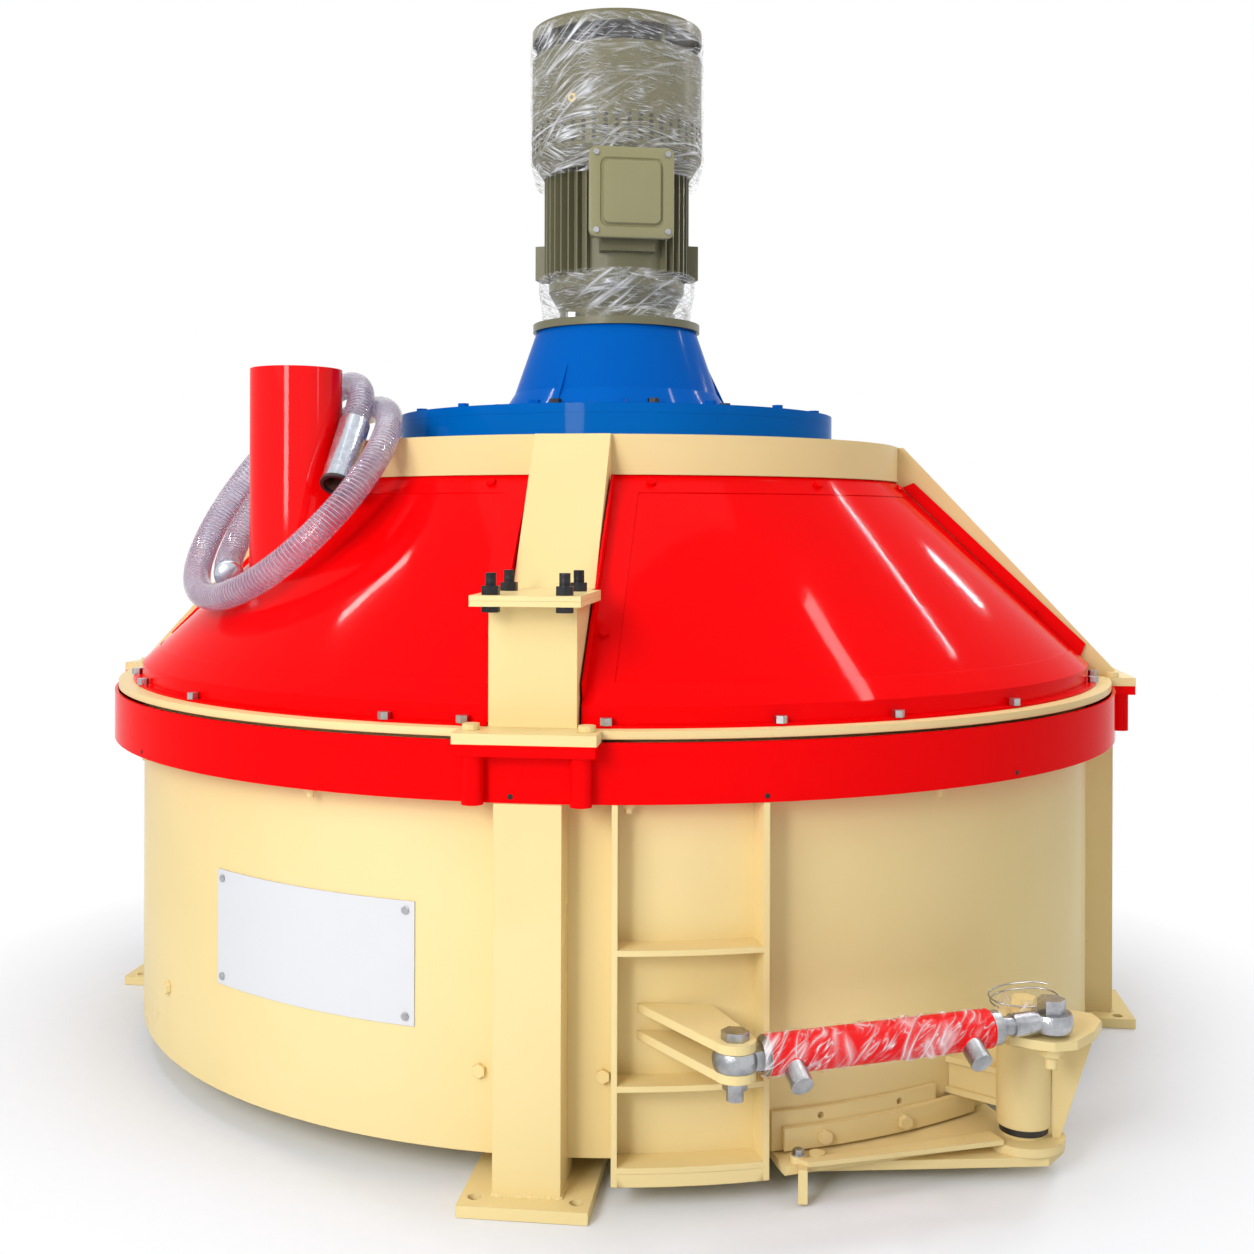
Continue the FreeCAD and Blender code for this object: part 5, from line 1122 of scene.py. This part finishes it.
# %% Barrel film
cylinder_matrix = frame_along(REAR_PIN, LEVER_PIN - REAR_PIN)
barrel_outline = [(0.0295 + 0.0012 * math.sin(step * 0.9), 0.050 + 0.342 * step / 70) for step in range(71)]
barrel_wrap = film_skin("barrel_wrap", barrel_outline, 60, 0.0026, 8.0, barrel_film, "cylinder",
                        cylinder_matrix)
neck_outline = [(0.0262 + 0.0048 * min(1, step / 5) - 0.0003 * max(0, step - 5), 0.034 + 0.002 * step)
                for step in range(9)]
ram_neck_film = film_skin("ram_neck_film", neck_outline, 60, 0.0022, 3.0, barrel_film, "cylinder",
                          cylinder_matrix)

# %% [markdown]
# ## Small things by the door
#
# Where the film was cut at the rod end, a crumpled ring of it stays round the hinge bolt, held by a loop
# of thin tie wire. A zinc bolt holds each lug of the door, and a small wire hook is welded in the lowest
# cell of the rib frame. All but the hook swing with the door.

# %% Tie wire, crumpled film, lug bolts and hook
HINGE = Vector((0.731, -0.762, 0))


def wire_tree():
    tree, given, out = geometry_tree("Round wire", {"Wire Radius": 0.001})
    links = tree.links
    line = tree.nodes.new("GeometryNodeMeshToCurve")
    links.new(given.outputs["Geometry"], line.inputs["Mesh"])
    round_wire = put_node(tree, "GeometryNodeCurvePrimitiveCircle", {"Resolution": 8})
    links.new(given.outputs["Wire Radius"], round_wire.inputs["Radius"])
    wire = tree.nodes.new("GeometryNodeCurveToMesh")
    wire.inputs["Fill Caps"].default_value = True
    links.new(line.outputs["Curve"], wire.inputs["Curve"])
    links.new(round_wire.outputs["Curve"], wire.inputs["Profile Curve"])
    return finish_tree(tree, given, out, wire.outputs["Mesh"])


ROUND_WIRE = wire_tree()
loop = []
for step in range(57):
    angle = math.radians(200 - step * 9.5)
    reach = 0.034 + 0.010 * math.cos(angle * 2 + 0.6) + 0.0006 * step / 10
    loop.append(HINGE + Vector((reach * 1.15 * math.cos(angle), reach * math.sin(angle),
                                0.256 + 0.010 * math.sin(angle + 0.7) + 0.00022 * step)))
tie_wire = grown("tie_wire", line_source("tie_wire_line", [loop]), ROUND_WIRE, {"Wire Radius": 0.0013},
                 turned_steel, "rod", 60)
tuft_outline = [(0.046 - 0.016 * (step / 11) ** 1.5, 0.2405 + 0.0022 * step) for step in range(12)]
film_tuft = film_skin("film_tuft", tuft_outline, 90, 0.005, 12.0, barrel_film, "rod",
                      Matrix.Translation(HINGE))
LUG_TURN = math.radians(203.5)
LUG_TOP = 0.0625
lug_place = Matrix.Translation(HINGE + Vector((math.cos(LUG_TURN), math.sin(LUG_TURN), 0)) * 0.374
                               + Vector((0, 0, LUG_TOP)))
lug_washer = piece("lug_washer", skin_of_rings("lug_washer", turned_rings(
    [(0.0105, 0.0001), (0.0105, 0.0016), (0.0098, 0.0020), (0.0052, 0.0020), (0.0052, 0.0001)], lug_place, 28),
    capped=True), zinc_plate, "door", 40)
lug_bolt = piece("lug_bolt", skin_of_rings("lug_bolt", turned_rings(
    [(0.0084, 0.0021), (0.0084, 0.0078), (0.0076, 0.0086), (0.003, 0.0087)], lug_place, 6), capped=True),
    zinc_plate, "door", 20)
bush_profile = [(0.0342, 0.0585), (0.0366, 0.0585), (0.0366, 0.0683), (0.0342, 0.0683), (0.0342, 0.0585)]
hinge_bush = piece("hinge_bush", skin_of_rings("hinge_bush", turned_rings(
    bush_profile, Matrix.Translation(HINGE), 48)), near_black_ring, "door", 40)
hook = []
for step in range(17):
    angle = math.radians(250 + step * 14)
    hook.append((17.98 + 0.42 * math.cos(angle), 0.060 + 0.0075 * math.sin(angle)))
hook_line = [Vector((0.9485 * math.sin(math.radians(turn)), -0.9485 * math.cos(math.radians(turn)), height))
             for turn, height in hook]
wall_hook = grown("wall_hook", line_source("hook_line", [hook_line]), ROUND_WIRE, {"Wire Radius": 0.0018},
                  cream_enamel, "mixer", 60)

# %% [markdown]
# ## Floor
#
# A plain pale floor takes the mixer's shadow near its feet. Further out it turns to plain white, the same
# as the world behind, so that no horizon shows.

# %% Floor
floor_mesh = skin_of_rings("floor", turned_rings([(0.01, -0.0005), (3.0, -0.0005), (14.0, -0.0005)], None, 64),
                           capped=False)
floor_material = bpy.data.materials.new("studio_floor")
floor_material.use_nodes = True
tree = floor_material.node_tree
surface = tree.nodes["Principled BSDF"]
surface.inputs["Roughness"].default_value = 0.9
surface.inputs["Specular IOR Level"].default_value = 0.0
place = put_node(tree, "ShaderNodeTexCoord")
grit = put_node(tree, "ShaderNodeTexNoise", {"Scale": 40, "Detail": 3})
tree.links.new(place.outputs["Object"], grit.inputs["Vector"])
shade = put_node(tree, "ShaderNodeMix", {6: (0.77, 0.80, 0.86, 1), 7: (0.80, 0.83, 0.89, 1)}, data_type="RGBA")
tree.links.new(grit.outputs["Fac"], shade.inputs["Factor"])
tree.links.new(shade.outputs[2], surface.inputs["Base Color"])
white = put_node(tree, "ShaderNodeEmission", {"Color": (1, 1, 1, 1), "Strength": 1.0})
distance = put_node(tree, "ShaderNodeVectorMath", operation="LENGTH")
tree.links.new(place.outputs["Object"], distance.inputs[0])
far = ranged(tree, distance.outputs["Value"], 1.02, 1.50, 0, 1)
rays = tree.nodes.new("ShaderNodeLightPath")
far = calculated(tree, "MULTIPLY", far, calculated(tree, "MAXIMUM", rays.outputs["Is Camera Ray"],
                                                   rays.outputs["Is Glossy Ray"]))
join = tree.nodes.new("ShaderNodeMixShader")
tree.links.new(far, join.inputs["Fac"])
tree.links.new(surface.outputs["BSDF"], join.inputs[1])
tree.links.new(white.outputs["Emission"], join.inputs[2])
tree.links.new(join.outputs["Shader"], tree.nodes["Material Output"].inputs["Surface"])
floor_mesh.materials.append(floor_material)
floor = bpy.data.objects.new("floor", floor_mesh)
scene.collection.objects.link(floor)
print("floor laid")
